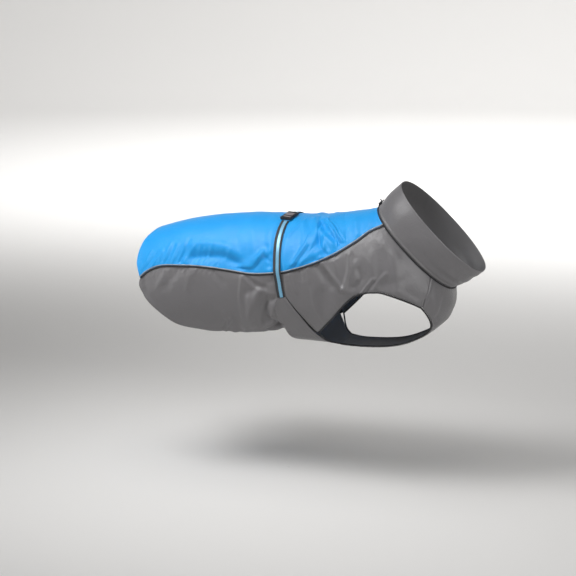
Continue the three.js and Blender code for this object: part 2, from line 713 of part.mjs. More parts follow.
function strapLift(turn) {
  const fromSeam = (turn - strapSeamTurn) * radians(sections[5].half);
  return wall + gap + 0.25 + strapRise.height * Math.exp(-((fromSeam / strapRise.length) ** 2));
}
const strapSeamTurn = places.underStrap[0][1];
const buckleHalfTurn = (buckleLength / 2 + gap) / turnLength(placeAtX(buckle.x, buckle.turn)[0]);
const strapEnds = { R: buckle.turn + buckleHalfTurn, L: buckleHalfTurn - buckle.turn };
for (const side of ['R', 'L']) {
  const sign = side === 'R' ? 1 : -1;
  const own = side === 'R' ? strapCurve : (share) => {
    const [at, turn] = strapCurve(share);
    return [at, -turn];
  };
  const firstShare = strapEnds[side] / strap.endTurn;
  const steps = side === 'R' ? 20 : 24;
  const lift = (share) => strapLift(strap.endTurn * share);
  const frames = framesOn(own, even(steps, firstShare, 1), lift);
  const half = strap.width / 2;
  const stripHalf = strap.stripWidth / 2;
  const stripBase = strap.thick + gap;
  parts.push(sweep(`strap_${side}`, frames, box(-half, half, 0, strap.thick), webbing));
  const strip = box(-stripHalf, stripHalf, stripBase, stripBase + strap.stripThick);
  parts.push(sweep(`strap_strip_${side}`, frames, strip, reflective));
}

// Drawcord in the neck seam, with its two free ends through a cord lock at the nape.
// The route is the cord's middle line; the stretch on the right is repeated on the left.
const drawcord = { radius: 1.1, sides: 8, endSteps: 11, ringSteps: 48 };
const cordTips = {
  R: [[195.7, -2.4, 39], [197.6, -2, 37.2], [198.9, -1.5, 34.8]],
  L: [[203.4, 2.3, 38], [201.9, 2, 36.3], [200.2, 1.6, 34.3]],
};
const cordRise = [
  [198.8, 1.4, 32.6], [197.5, 1.4, 31.1], [196.3, 1.4, 29.7], [195, 1.4, 28.1], [193.8, 1.5, 26.7],
  [193.6, 3, 24.9], [194.3, 5.6, 24.1],
];
const cordRing = [
  [194.4, 5.9, 24.1], [196, 19.7, 23.3], [198.5, 33, 20.9], [203.5, 47.9, 16], [212.2, 63.4, 7.5],
  [225.6, 77.8, -5.7], [244.8, 88.8, -24.6], [271.3, 93.7, -50.8], [300.5, 90.6, -79.6],
  [322.7, 79.4, -101.6], [339.9, 61, -118.6], [351, 36.1, -129.8], [354.7, 16.2, -133.4],
];
const cordThroat = [355.4, 0, -134.1];
const onRight = ([x, y, z]) => [x, -y, z];

function cordTube(name, route, steps) {
  const knots = route.map((row) => new THREE.Vector3(...row));
  const extrudePath = new THREE.CatmullRomCurve3(knots, false, 'centripetal');
  const round = circle(drawcord.radius, drawcord.sides).map(([x, y]) => new THREE.Vector2(x, y));
  const tube = new THREE.ExtrudeGeometry(new THREE.Shape(round), { extrudePath, steps, bevelEnabled: false });
  parts.push(named(name, tube, blackTrim));
}

cordTube('drawcord_end_R', [...cordTips.R, ...cordRise.map(onRight)], drawcord.endSteps);
cordTube('drawcord_end_L', [...cordTips.L, ...cordRise], drawcord.endSteps);
const wholeRing = [...cordRing.map(onRight), cordThroat, ...[...cordRing].reverse()];
cordTube('neck_drawcord', wholeRing, drawcord.ringSteps);

// Side-release buckle near the middle of the back, right side: x across, y up the strap, z off the cloth
function solidOf(geometry) {
  const bare = geometry.clone();
  bare.deleteAttribute('normal');
  bare.deleteAttribute('uv');
  const merged = mergeVertices(bare, 1e-4);
  return new wasm.Manifold(new wasm.Mesh({
    numProp: 3,
    vertProperties: merged.attributes.position.array,
    triVerts: new Uint32Array(merged.index.array),
  }));
}

function geometryOf(solid) {
  const mesh = solid.getMesh();
  const geometry = new THREE.BufferGeometry();
  geometry.setAttribute('position', new THREE.BufferAttribute(new Float32Array(mesh.vertProperties), 3));
  geometry.setIndex(Array.from(mesh.triVerts));
  return geometry;
}

const cornerSteps = 3;

// A rounded plate from height low to high, at a place along the strap
function plate(width, length, radius, middle, low, high) {
  const geometry = new THREE.ExtrudeGeometry(roundedRectangle(width, length, radius), {
    depth: high - low,
    bevelEnabled: false,
    curveSegments: cornerSteps,
  });
  return solidOf(geometry.translate(0, middle, low));
}

// A rounded bar along the strap, its middle at mid-height
function bar(width, height, radius, from, to) {
  const geometry = new THREE.ExtrudeGeometry(roundedRectangle(width, height, radius), {
    depth: to - from,
    bevelEnabled: false,
    curveSegments: cornerSteps,
  });
  return solidOf(geometry.rotateX(Math.PI / 2).translate(0, to, buckle.height / 2));
}

function block(width, length, height, x, y, z) {
  return solidOf(new THREE.BoxGeometry(width, length, height).translate(x, y, z));
}

{
  const middleZ = buckle.height / 2;
  const plugEnd = -buckleLength / 2;
  const plugFront = plugEnd + buckle.plug;
  const socketMouth = plugFront + gap;
  const socketBack = socketMouth + buckle.socket;
  const frameEnd = socketBack + buckle.frame;
  const nubFrom = socketMouth + 4;

  const hull = bar(buckle.width, buckle.height, 2.4, socketMouth, socketBack);
  const hollow = bar(tunnel.width, tunnel.height, 0.8, socketMouth - 1, socketBack + 1);
  const nubMiddle = nubFrom + prong.nubLength / 2;
  const windowLength = prong.nubLength + 2 * 0.8;
  const window = block(buckle.width + 4, windowLength, tunnel.height, 0, nubMiddle, middleZ);
  const frameMiddle = (socketBack + frameEnd) / 2 - 0.3;
  const frame = plate(buckle.width, buckle.frame + 0.6, 2, frameMiddle, 1.2, 5.2)
    .subtract(plate(slot.width, slot.length, 0.8, frameMiddle + 0.8, 0, buckle.height));
  const socket = hull.subtract(hollow).subtract(window).add(frame.subtract(
    block(tunnel.width, 1, tunnel.height, 0, socketBack - 0.5, middleZ),
  ));

  const base = plate(buckle.width, buckle.plug, 2.2, (plugEnd + plugFront) / 2, 0.9, 5.5)
    .subtract(plate(slot.width, slot.length, 0.8, plugEnd + 3.6, 0, buckle.height))
    .subtract(plate(slot.width, slot.length - 0.6, 0.8, plugEnd + 8.9, 0, buckle.height));
  const reach = (from, length) => [from + length / 2, length];
  const [tongueY, tongueLength] = reach(plugFront - 0.5, prong.length + 0.5);
  let plug = base.add(block(prong.tongueWidth, tongueLength, prong.thick, 0, tongueY, middleZ));
  for (const sign of [-1, 1]) {
    const nubX = sign * (prong.x + prong.width / 2 + (prong.nub + 0.8) / 2);
    plug = plug
      .add(block(prong.width, tongueLength, prong.thick, sign * prong.x, tongueY, middleZ))
      .add(block(prong.nub + 0.9, prong.nubLength, prong.thick, nubX, nubMiddle, middleZ));
  }

  const [at, turn] = placeAtX(buckle.x, buckle.turn);
  const up = bodyNormal(at, turn);
  const ridgeward = bodyPoint(at, turn - 1).sub(bodyPoint(at, turn + 1)).normalize();
  const alongStrap = ridgeward.applyAxisAngle(up, -radians(buckle.lean));
  const across = alongStrap.clone().cross(up).normalize();
  const holder = new THREE.Group();
  holder.quaternion.setFromRotationMatrix(new THREE.Matrix4().makeBasis(across, alongStrap, up));
  holder.position.copy(bodyPoint(at, turn)).addScaledVector(up, wall + gap + 0.1);
  holder.add(named('buckle_socket', geometryOf(socket), plastic));
  holder.add(named('buckle_plug', geometryOf(plug), plastic));
  parts.push(holder);
}

function named(name, geometry, finish) {
  const mesh = new THREE.Mesh(geometry, finish);
  mesh.name = name;
  return mesh;
}

// Cord lock: a short barrel with one slot for both ends of the cord
const cordLockPlace = [196.3, 0, 29.7];
const cordLock = { length: 6.5, width: 8.8, depth: 5.8, slotWidth: 6, slotDepth: 3.2, arcSteps: 3 };
{
  const outline = roundedRectangle(cordLock.width, cordLock.depth, cordLock.depth / 2 - 0.1);
  outline.holes.push(roundedRectangle(cordLock.slotWidth, cordLock.slotDepth, cordLock.slotDepth / 2 - 0.1));
  const geometry = new THREE.ExtrudeGeometry(outline, {
    depth: cordLock.length,
    bevelEnabled: false,
    curveSegments: cordLock.arcSteps,
  });
  geometry.translate(0, 0, -cordLock.length / 2);
  const lock = named('cord_lock', geometry, plastic);
  const rise = new THREE.Vector3(collar.napeX, 0, collar.napeZ).normalize();
  const across = new THREE.Vector3(0, 1, 0);
  const turned = new THREE.Matrix4().makeBasis(across, rise.clone().cross(across), rise);
  lock.quaternion.setFromRotationMatrix(turned);
  lock.position.set(...cordLockPlace);
  parts.push(lock);
}

const group = new THREE.Group();
parts.forEach((mesh) => group.add(mesh));
export default group;
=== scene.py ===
import math

import bmesh
import bpy
import numpy as np
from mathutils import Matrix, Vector, noise


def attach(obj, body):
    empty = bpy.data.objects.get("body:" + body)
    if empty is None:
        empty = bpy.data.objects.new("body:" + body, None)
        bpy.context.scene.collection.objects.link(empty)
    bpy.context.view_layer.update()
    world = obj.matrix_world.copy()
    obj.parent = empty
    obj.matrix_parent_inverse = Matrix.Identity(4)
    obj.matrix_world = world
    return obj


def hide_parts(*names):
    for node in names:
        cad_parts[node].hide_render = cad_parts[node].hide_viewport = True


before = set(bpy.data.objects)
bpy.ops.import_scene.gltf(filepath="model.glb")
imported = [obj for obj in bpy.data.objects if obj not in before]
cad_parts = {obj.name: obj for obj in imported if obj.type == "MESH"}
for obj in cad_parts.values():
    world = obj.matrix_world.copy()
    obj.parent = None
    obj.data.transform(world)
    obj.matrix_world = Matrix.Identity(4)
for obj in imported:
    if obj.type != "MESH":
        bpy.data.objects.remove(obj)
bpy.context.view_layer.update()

toMetres = 0.001  # sizes below are in millimetres unless they say otherwise
print("frame loaded:", len(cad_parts), "nodes")


def addObject(name, data):
    made = bpy.data.objects.new(name, data)
    bpy.context.scene.collection.objects.link(made)
    return made


def smoothShaded(mesh):
    mesh.polygons.foreach_set("use_smooth", np.full(len(mesh.polygons), True))


# Camera
cameraSetup = {
    "azimuth": 18,  # degrees, from the right side toward the front
    "elevation": 12,
    "distance": 3.033,  # metres
    "aim": (-0.0022, 0.0, -0.1598),  # the point of the coat in the middle of the picture, metres
    "lens": 90,
}


def placeCamera(setup):
    turn, rise = math.radians(setup["azimuth"]), math.radians(setup["elevation"])
    back = Vector((math.sin(turn) * math.cos(rise), -math.cos(turn) * math.cos(rise), math.sin(rise)))
    data = bpy.data.cameras.new("camera")
    data.lens = setup["lens"]
    data.sensor_width = 36
    data.clip_end = 500
    camera = addObject("camera", data)
    camera.location = Vector(setup["aim"]) + back * setup["distance"]
    camera.rotation_euler = (-back).to_track_quat("-Z", "Y").to_euler()
    bpy.context.scene.camera = camera


placeCamera(cameraSetup)


# The coat's body: a loft of rounded sections from the tail to the neck seam
coatBody = {
    "roundness": 2.25,
    "backX": [-350, -300, -235, -155, -80, -10, 60, 115, 155, 180, 190, 197],
    "backZ": [-80, -50, -28.5, -12.5, -4.6, -2.4, -2.2, 4.5, 11, 16.2, 19, 21],
    "bellyX": [-345, -300, -240, -165, -88, -8, 80, 172, 254, 318, 350, 352],
    "bellyZ": [-302, -300, -294, -286, -274, -261, -262, -266, -256, -221, -176, -132],
    "half": [104, 112, 117, 119, 119, 121, 123, 122, 118, 112, 103, 90],
}
neckAt = len(coatBody["half"]) - 1

cloth = {
    "wall": 1.7,  # the outer face's height over the body
    "thickness": 0.8,
    "gap": 0.3,
    "overlap": 2.4,  # how far the belly band's flaps stand off the side panels
}


def betweenRows(rows, place):
    values = np.asarray(rows, float)
    index = np.clip(np.floor(place).astype(int), 0, len(values) - 2)
    share = place - index
    before = values[np.clip(index - 1, 0, len(values) - 1)]
    start, stop = values[index], values[index + 1]
    after = values[np.clip(index + 2, 0, len(values) - 1)]
    bend = (2 * before - 5 * start + 4 * stop - after) * share ** 2
    twist = (3 * start - before - 3 * stop + after) * share ** 3
    return 0.5 * (2 * start + (stop - before) * share + bend + twist)


def sectionSize(at, key):
    return betweenRows(coatBody[key], np.asarray(at, float))


def signedPower(value, power):
    return np.sign(value) * np.abs(value) ** power


# Length along a line of points, up to each point
def runLength(points):
    return np.concatenate([[0], np.cumsum(np.linalg.norm(np.diff(points, axis=0), axis=1))])


def smooth(value, low, high):
    share = np.clip((value - low) / (high - low), 0, 1)
    return share * share * (3 - 2 * share)


# at runs along the body in section rows; turn is in degrees from the middle of the back, right side first
def bodyPoint(at, turn):
    at, turn = np.broadcast_arrays(np.asarray(at, float), np.asarray(turn, float))
    angle = np.radians(turn)
    high = signedPower(np.cos(angle), 2 / coatBody["roundness"])
    wide = signedPower(np.sin(angle), 2 / coatBody["roundness"])
    backX, backZ = sectionSize(at, "backX"), sectionSize(at, "backZ")
    bellyX, bellyZ = sectionSize(at, "bellyX"), sectionSize(at, "bellyZ")
    x = (backX + bellyX) / 2 + (backX - bellyX) / 2 * high
    z = (backZ + bellyZ) / 2 + (backZ - bellyZ) / 2 * high
    return np.stack([x, -sectionSize(at, "half") * wide, z], -1)


def unit(vectors):
    return vectors / np.maximum(np.linalg.norm(vectors, axis=-1, keepdims=True), 1e-9)


def bodyNormal(at, turn):
    at, turn = np.broadcast_arrays(np.asarray(at, float), np.asarray(turn, float))
    along = bodyPoint(at + 0.04, turn) - bodyPoint(at - 0.04, turn)
    around = bodyPoint(at, turn + 1.5) - bodyPoint(at, turn - 1.5)
    return unit(np.cross(around, along))


def fromSide(x, z):
    low, high = 0.0, float(neckAt)
    for _ in range(26):
        middle = (low + high) / 2
        backX, backZ = sectionSize(middle, "backX"), sectionSize(middle, "backZ")
        downX, downZ = sectionSize(middle, "bellyX") - backX, sectionSize(middle, "bellyZ") - backZ
        if (x - backX) * downZ - (z - backZ) * downX < 0:
            low = middle
        else:
            high = middle
    share = ((x - backX) * downX + (z - backZ) * downZ) / (downX ** 2 + downZ ** 2)
    cosine = signedPower(np.clip(1 - 2 * share, -1, 1), coatBody["roundness"] / 2)
    return middle, math.degrees(math.acos(cosine))


def atX(x, turn, lowest=3.0):
    low, high = lowest, float(neckAt)
    for _ in range(26):
        middle = (low + high) / 2
        own = turn(middle) if callable(turn) else turn
        if bodyPoint(middle, own)[0] < x:
            low = middle
        else:
            high = middle
    return middle, own


def fromBelow(x, y):
    def turnAt(at):
        sine = np.clip(abs(y) / sectionSize(at, "half"), 0, 1) ** (coatBody["roundness"] / 2)
        return 180 - math.degrees(math.asin(sine))
    return atX(x, turnAt)


# Outlines of the sewn pieces on the right side, in side view as [x, z], or from below as [x, y]
outlines = {
    "backHem": [[-291, -46.5], [-294, -51], [-300, -59], [-304, -74], [-305, -90], [-303, -108],
                [-292, -135]],
    "sideSeam": [
        [-292, -135], [-278, -122.5], [-250, -108.5], [-200, -103], [-140, -102], [-90, -105.5],
        [-45, -109], [-10, -106.5], [25, -101.5], [50, -94.5], [92, -79.5], [134, -59], [170, -36],
        [198, -15], [221, -3.5],
    ],
    "rearHemCurve": [[-292, -136.5], [-293, -150], [-283, -168], [-266, -189], [-243, -207]],
    "sideHem": [[-243, -207], [-215, -227], [-190, -234], [-150, -237.5], [-90, -238], [-30, -236],
                [18, -227]],
    "underStrap": [[25, -101.5], [29, -128], [33, -151]],
    "sideRearFront": [[33, -151], [29, -190], [18, -227]],
    "flapFront": [[33, -151], [49, -173], [67, -197], [90, -231]],
    "sideFrontCorner": [[33, -151], [50, -173], [69, -196], [92, -226]],
    "armhole": [
        [92, -226], [106, -212], [123, -194], [147, -166], [172, -141], [195, -132], [225, -129],
        [250, -135], [275, -144], [293, -152], [306, -160],
    ],
    "chestSeam": [[320, -109], [315, -132], [306, -160]],
    "chestArmhole": [[306, -160], [314, -174], [318.5, -190], [318, -206]],
    "chestStrip": [[302, -31], [280, -33], [230, -35], [180, -36], [150, -37], [124, -42]],
    "flapTip": [[12, -157], [22, -154.5], [33, -151]],
    "flapRear": [[12, -157], [9, -172], [11, -195], [19, -222], [26, -238]],
    "bandRearBelow": [[33, -48], [38, -24], [40, 0]],
    "bandFrontBelow": [[99, -76], [110, -58], [124, -42]],
}
seenFromBelow = ("chestStrip", "bandRearBelow", "bandFrontBelow")
places = {
    name: [list(fromBelow(*row) if name in seenFromBelow else fromSide(*row)) for row in rows]
    for name, rows in outlines.items()
}
places["sideSeam"][-1][0] = neckAt
places["chestSeam"][0][0] = neckAt
seamTurn = places["sideSeam"][-1][1]
chestTurn = places["chestSeam"][0][1]


# A smooth curve through knots, with steps points in each span
def throughKnots(knots, steps):
    knots = np.asarray(knots, float)
    ends = np.vstack([2 * knots[0] - knots[1], knots, 2 * knots[-1] - knots[-2]])
    made = []
    for k in range(len(knots) - 1):
        a, b, c, d = ends[k:k + 4]
        spans = [max(np.linalg.norm(q - p) ** 0.5, 1e-4) for p, q in ((a, b), (b, c), (c, d))]
        leave = ((b - a) / spans[0] - (c - a) / (spans[0] + spans[1]) + (c - b) / spans[1]) * spans[1]
        reach = ((c - b) / spans[1] - (d - b) / (spans[1] + spans[2]) + (d - c) / spans[2]) * spans[1]
        t = np.linspace(0, 1, steps, endpoint=False)[:, None]
        made.append(b + leave * t + (3 * (c - b) - 2 * leave - reach) * t ** 2
                    + (2 * (b - c) + leave + reach) * t ** 3)
    return np.vstack(made + [knots[-1:]])


# An edge is a function from shares of its length to rows of [at, turn]
def edge(knots):
    scale = np.array([30, 1])
    dense = throughKnots(np.asarray(knots, float) * scale, 14) / scale
    points = bodyPoint(dense[:, 0], dense[:, 1])
    lengths = runLength(points)

    def place(share):
        wanted = np.clip(share, 0, 1) * lengths[-1]
        return np.stack([np.interp(wanted, lengths, dense[:, k]) for k in (0, 1)], -1)
    return place


def joined(curves, shares):
    stops = [0, *shares, 1]

    def place(share):
        share = np.asarray(share, float)
        part = np.searchsorted(np.array(shares) + 1e-9, share)
        out = np.zeros(share.shape + (2,))
        for k, curve in enumerate(curves):
            own = part == k
            if own.any():
                out[own] = curve((share[own] - stops[k]) / (stops[k + 1] - stops[k]))
        return out
    return place


def part(curve, start, stop):
    return lambda share: curve(start + np.asarray(share, float) * (stop - start))


def reversedEdge(curve):
    return lambda share: curve(1 - np.asarray(share, float))


def mirroredEdge(curve):
    return lambda share: curve(share) * [1, -1] + [0, 360]


def acrossBody(at, start, stop):
    def place(share):
        share = np.asarray(share, float)
        return np.stack([at + 0 * share, start + (stop - start) * share], -1)
    return place


def shareAt(curve, at):
    shares = np.linspace(0, 1, 4001)
    return float(np.interp(at, curve(shares)[:, 0], shares))


sideSeam = edge(places["sideSeam"])
seamSplit = shareAt(sideSeam, places["underStrap"][0][0])
armholeEdge = edge(places["armhole"])
chestFree = edge(places["chestArmhole"] + places["chestStrip"])
stripEnd = places["chestStrip"][-1]
chestSeamShare = 0.2
bandCorner, bandStart = 0.375, 0.28125
bandFrontHalf = edge(places["flapFront"] + places["bandFrontBelow"])
crossSeam = acrossBody(stripEnd[0], stripEnd[1], 360 - stripEnd[1])  # between the chest strip and the band
bandFront = joined([bandFrontHalf, crossSeam, reversedEdge(mirroredEdge(bandFrontHalf))],
                   [bandCorner, 1 - bandCorner])


# Girth strap line
girthStrap = {
    "turns": [0, 13, 26, 47, 64, 78, 88, 99],
    "x": [13, 11.7, 8.6, 8.6, 11, 14.5, 19, 24],
    "width": 16,
    "thick": 1.4,
    "endTurn": 97.3,
    "rise": 2.8,  # over the side seam
    "riseLength": 13,
    "cinch": 1.5,  # how far the cloth swells beside it
}


def strapX(turn):
    own = np.clip(np.abs(turn), 0, girthStrap["turns"][-1])
    return betweenRows(girthStrap["x"], np.interp(own, girthStrap["turns"], range(len(girthStrap["x"]))))


# Folds of the worn cloth, a row each: a line in side view, its half width, its height (negative for a
# hollow) and its skew, which makes one side steeper than the other
def named(rows):
    return [dict(zip(("line", "width", "height", "skew"), row)) for row in rows]


mainFolds = named([
    ([(-160, -78), (-78, -92)], 19, -4.5, 0),
    ([(-70, -101), (-14, -68)], 9, 3.6, 0),
    ([(-14, -60), (-4, -90)], 7, -3.8, 0),
    ([(-210, -40), (-120, -55)], 24, 1.8, 0),
    ([(42, -92), (78, -36)], 8, 2.4, 0),
    ([(50, -93), (102, -52)], 7, 2.2, 0),
    ([(98, -14), (92, -46)], 7, -2.6, 0),
    ([(68, -6), (122, -42)], 6, 3.8, 0),
    ([(82, -6), (134, -38)], 6, -3, 0),
    ([(98, -5), (142, -30)], 6, 2.8, 0),
    ([(162, -3), (172, -24)], 7, 1.8, 0),
    ([(6, -120), (-52, -150)], 8, -1.6, 0),
    ([(-28, -152), (-62, -222)], 10, 5.2, 0),
    ([(-14, -158), (-16, -196)], 9, -5.2, 0),
    ([(-4, -206), (14, -222)], 8, -6.08, 0),
    ([(-98, -200), (-88, -240)], 8, 3.24, 0),
    ([(-200, -150), (-140, -228)], 22, 2.97, 0),
    ([(132, -72), (158, -128)], 9, 4.86, 0),
    ([(114, -104), (122, -150)], 11, -3.51, 0),
    ([(176, -82), (172, -126)], 8, 3.24, 0),
    ([(208, -60), (214, -118)], 9, 2.97, 0),
    ([(252, -58), (262, -122)], 10, 3.24, 0),
    ([(326, -128), (330, -192)], 9, 3.24, 0),
])
smallFolds = named([
    # blue rear
    ([(-67, -96), (-52, -96), (-38, -93), (-30, -82), (-20, -66)], 4.6, 2.6, -0.3),
    ([(-32, -91), (-23, -82), (-10, -74)], 5.5, -2.2, 0),
    ([(-17, -72), (-7, -79), (5, -84)], 2.6, -1.6, 0.3),
    ([(-171, -84), (-141, -80), (-110, -78), (-88, -84), (-67, -94)], 8, -4.3, 0),
    ([(-186, -62), (-144, -58), (-102, -60), (-84, -68)], 11, 3.4, 0.35),
    ([(-163, -83), (-157, -60)], 3.2, 1, -0.3),
    ([(-150, -80), (-146, -66)], 2.4, 0.4, -0.3),
    ([(-138, -82), (-131, -60)], 3, 1.5, -0.3),
    ([(-123, -79), (-119, -65)], 2.6, 0.5, -0.3),
    ([(-112, -80), (-106, -60)], 2.8, 0.8, -0.3),
    ([(-98, -82), (-90, -66)], 3.4, 1.3, -0.3),
    ([(-238, -91), (-231, -68)], 3.2, 1.5, 0.3),
    ([(-220, -92), (-213, -65)], 3.4, 1.6, 0.3),
    ([(-229, -93), (-221, -70)], 3, -1.2, 0),
    ([(-202, -94), (-194, -76), (-189, -58)], 4, -2.2, 0.3),
    ([(-189, -94), (-182, -79), (-174, -67)], 3.6, 1.5, 0),
    ([(-173, -95), (-171, -84)], 2.6, -1, 0),
    ([(-290, -118), (-281, -102), (-274, -84)], 3.4, 1.2, 0),
    ([(-278, -114), (-268, -99), (-259, -83)], 3, -1.1, 0),
    ([(-264, -109), (-255, -95), (-245, -80)], 3.2, 1.2, 0),
    ([(-95, -17), (-83, -42), (-73, -69)], 9, -1.2, 0),
    ([(-66, -13), (-51, -35), (-41, -59)], 9, 1.4, 0),
    ([(-141, -14), (-117, -35)], 14, -0.9, 0),
    ([(-35, -8), (-25, -30), (-25, -55)], 8, -1, 0),
    # blue front
    ([(86, -5), (97, -8), (113, -17), (126, -29), (133, -41)], 2.8, 3.2, -0.3),
    ([(92, -5), (104, -9), (120, -21), (132, -35), (136, -43)], 1.7, -3.4, 0),
    ([(98, -5), (116, -12), (133, -27), (142, -35)], 2.4, 3, 0),
    ([(104, -5), (122, -13), (136, -26), (144, -33)], 1.8, -2.3, 0.3),
    ([(87, -9), (87, -19), (92, -33), (97, -44), (106, -55), (114, -61)], 3.2, -2.9, 0.3),
    ([(108, -51), (104, -37), (105, -28), (112, -25)], 3, 1.4, 0),
    ([(106, -27), (117, -27), (126, -34)], 2.4, -1.4, 0),
    ([(27, -34), (37, -19), (44, -11)], 3.2, 1.4, 0.3),
    ([(46, -83), (58, -63), (67, -46), (70, -29)], 3.6, 1.8, 0.4),
    ([(53, -85), (64, -68), (75, -52)], 3, -1.5, 0),
    ([(61, -86), (76, -67), (88, -52)], 3.4, 1.4, 0.3),
    ([(49, -11), (58, -26), (61, -43)], 4.4, 1.3, 0),
    ([(79, -52), (88, -31), (81, -13), (81, 0)], 4, 1.5, -0.3),
    ([(64, -14), (71, -28), (71, -39)], 3.6, -1, 0),
    ([(36, -93), (42, -86), (51, -81)], 2, 1, 0),
    ([(38, -89), (46, -82)], 1.8, -0.9, 0),
    ([(122, 9), (139, -5), (151, -31)], 2.6, -1.1, 0.4),
    ([(144, 9), (162, -7), (167, -20)], 8, 1, 0),
    ([(202, 10), (206, -1), (203, -8)], 5, -1.6, 0),
    ([(186, 7), (190, -2), (188, -14)], 6, 1.2, 0),
    # grey rear
    ([(-60, -114), (-45, -132), (-23, -142), (5, -147)], 4.4, 1.3, 0),
    ([(-51, -116), (-36, -128), (-14, -135)], 4.6, -2.43, 0),
    ([(-36, -115), (-17, -126), (4, -130)], 4, 0.8, 0),
    ([(-63, -121), (-66, -156), (-65, -195)], 6, 1.89, -0.3),
    ([(-47, -160), (-45, -192), (-46, -219)], 7, 3.24, 0),
    ([(7, -156), (-11, -168), (-23, -188), (-28, -213)], 6, -3.78, 0),
    ([(14, -164), (2, -185), (-5, -207)], 5.5, 2.7, 0),
    ([(-17, -229), (-3, -222), (15, -213)], 3.8, -4.59, 0),
    ([(-89, -207), (-100, -223), (-106, -235)], 3.4, 2.16, 0.3),
    ([(-95, -207), (-107, -222), (-113, -234)], 3, -1.49, 0),
    ([(-127, -110), (-118, -119), (-107, -128)], 7, -1.62, 0),
    ([(-231, -117), (-236, -127), (-246, -144)], 7, 1.49, 0),
    ([(-203, -113), (-217, -132), (-227, -146)], 8, -1.22, 0),
    ([(-168, -110), (-177, -125), (-181, -143)], 8, 1.22, 0),
    ([(-278, -140), (-275, -160), (-260, -179)], 7, -1.49, 0),
    # grey front
    ([(106, -74), (122, -93), (139, -111), (151, -126)], 5, 4.4, 0.2),
    ([(162, -62), (164, -88), (160, -110), (154, -126)], 4.8, 3.9, 0),
    ([(137, -72), (146, -98), (152, -116)], 5.5, -1.89, 0),
    ([(94, -81), (110, -102), (127, -122)], 6.5, -2.97, 0),
    ([(183, -90), (188, -105), (177, -122)], 6.5, -2.97, 0),
    ([(190, -133), (200, -119), (212, -105)], 3.4, 2.43, 0.3),
    ([(202, -129), (214, -110)], 3, -1.62, 0),
    ([(215, -125), (224, -107), (236, -94)], 4, 2.29, 0.3),
    ([(237, -128), (266, -133), (292, -147)], 8, 2.03, 0),
    ([(245, -112), (270, -107), (287, -94)], 9, -1.35, 0),
    ([(109, -141), (111, -169)], 7, -2.43, 0),
    ([(91, -135), (95, -164), (109, -192)], 6, 1.49, 0),
    ([(41, -105), (47, -124), (53, -139)], 4.6, 1.76, 0),
    ([(61, -95), (65, -111)], 4, -1.49, 0),
    ([(77, -91), (82, -112)], 4.4, 1.35, 0),
    ([(194, -46), (195, -61), (200, -71)], 7, 1.62, 0),
    ([(214, -31), (238, -45), (258, -66)], 11, 1.22, 0),
    ([(321, -114), (314, -135), (307, -155)], 2.2, 1.35, 0),
    # chest
    ([(338, -143), (334, -159), (326, -176), (317, -190)], 3.8, 2.7, 0.3),
    ([(340, -130), (335, -156), (325, -178)], 4.4, -1.62, 0),
    ([(333, -125), (330, -148), (327, -172)], 6, 1.22, 0),
])
gathers = {"firstX": -266, "pitch": 11.6, "count": 13, "length": 34, "lean": 13, "height": 1.1}
broadFold = 12  # folds at least this wide run on through the side seam


# The left side has the same folds, a little moved and of other heights.
def leftFold(fold, index):
    shift = 7 * math.sin(2.3 * index + 0.6)
    line = [(x + (shift if k == 0 else 0.4 * shift), z) for k, (x, z) in enumerate(fold["line"])]
    return {**fold, "line": line, "height": fold["height"] * (0.82 + 0.18 * math.cos(1.7 * index))}


def foldAt(fold, x, z):
    line = np.asarray(fold["line"], float)
    if len(line) > 2:
        line = throughKnots(line, 6)
    width, skew = fold["width"], fold["skew"]
    reach = 4.2 * width
    near = ((x > line[:, 0].min() - reach) & (x < line[:, 0].max() + reach)
            & (z > line[:, 1].min() - reach) & (z < line[:, 1].max() + reach))
    height = np.zeros_like(x)
    ownX, ownZ = x[near], z[near]
    if not ownX.size:
        return height
    best = np.full(ownX.shape, 1e9)
    aside, past = np.zeros_like(ownX), np.zeros_like(ownX)
    last = len(line) - 2
    for k in range(last + 1):
        run = line[k + 1] - line[k]
        length = max(np.hypot(*run), 1e-6)
        share = ((ownX - line[k, 0]) * run[0] + (ownZ - line[k, 1]) * run[1]) / length ** 2
        held = np.clip(share, 0, 1)
        away = np.hypot(ownX - line[k, 0] - held * run[0], ownZ - line[k, 1] - held * run[1])
        side = ((ownX - line[k, 0]) * run[1] - (ownZ - line[k, 1]) * run[0]) / length
        over = np.zeros_like(share)
        if k == 0:
            over = np.maximum(over, -share * length)
        if k == last:
            over = np.maximum(over, (share - 1) * length)
        inside = np.where(over > 0, side, np.sign(side) * away)
        closer = away < best
        best = np.where(closer, away, best)
        aside = np.where(closer, inside, aside)
        past = np.where(closer, over, past)
    ownWidth = width * np.where(aside > 0, 1 + skew, 1 - skew)
    height[near] = fold["height"] * np.exp(-(aside / ownWidth) ** 2 - (past / (1.6 * width)) ** 2)
    return height


seamLine = np.array(places["sideSeam"])


def seamTurnAt(at):
    return np.interp(at, seamLine[:, 0], seamLine[:, 1])


def girthStep(at):
    return np.radians(sectionSize(at, "half"))


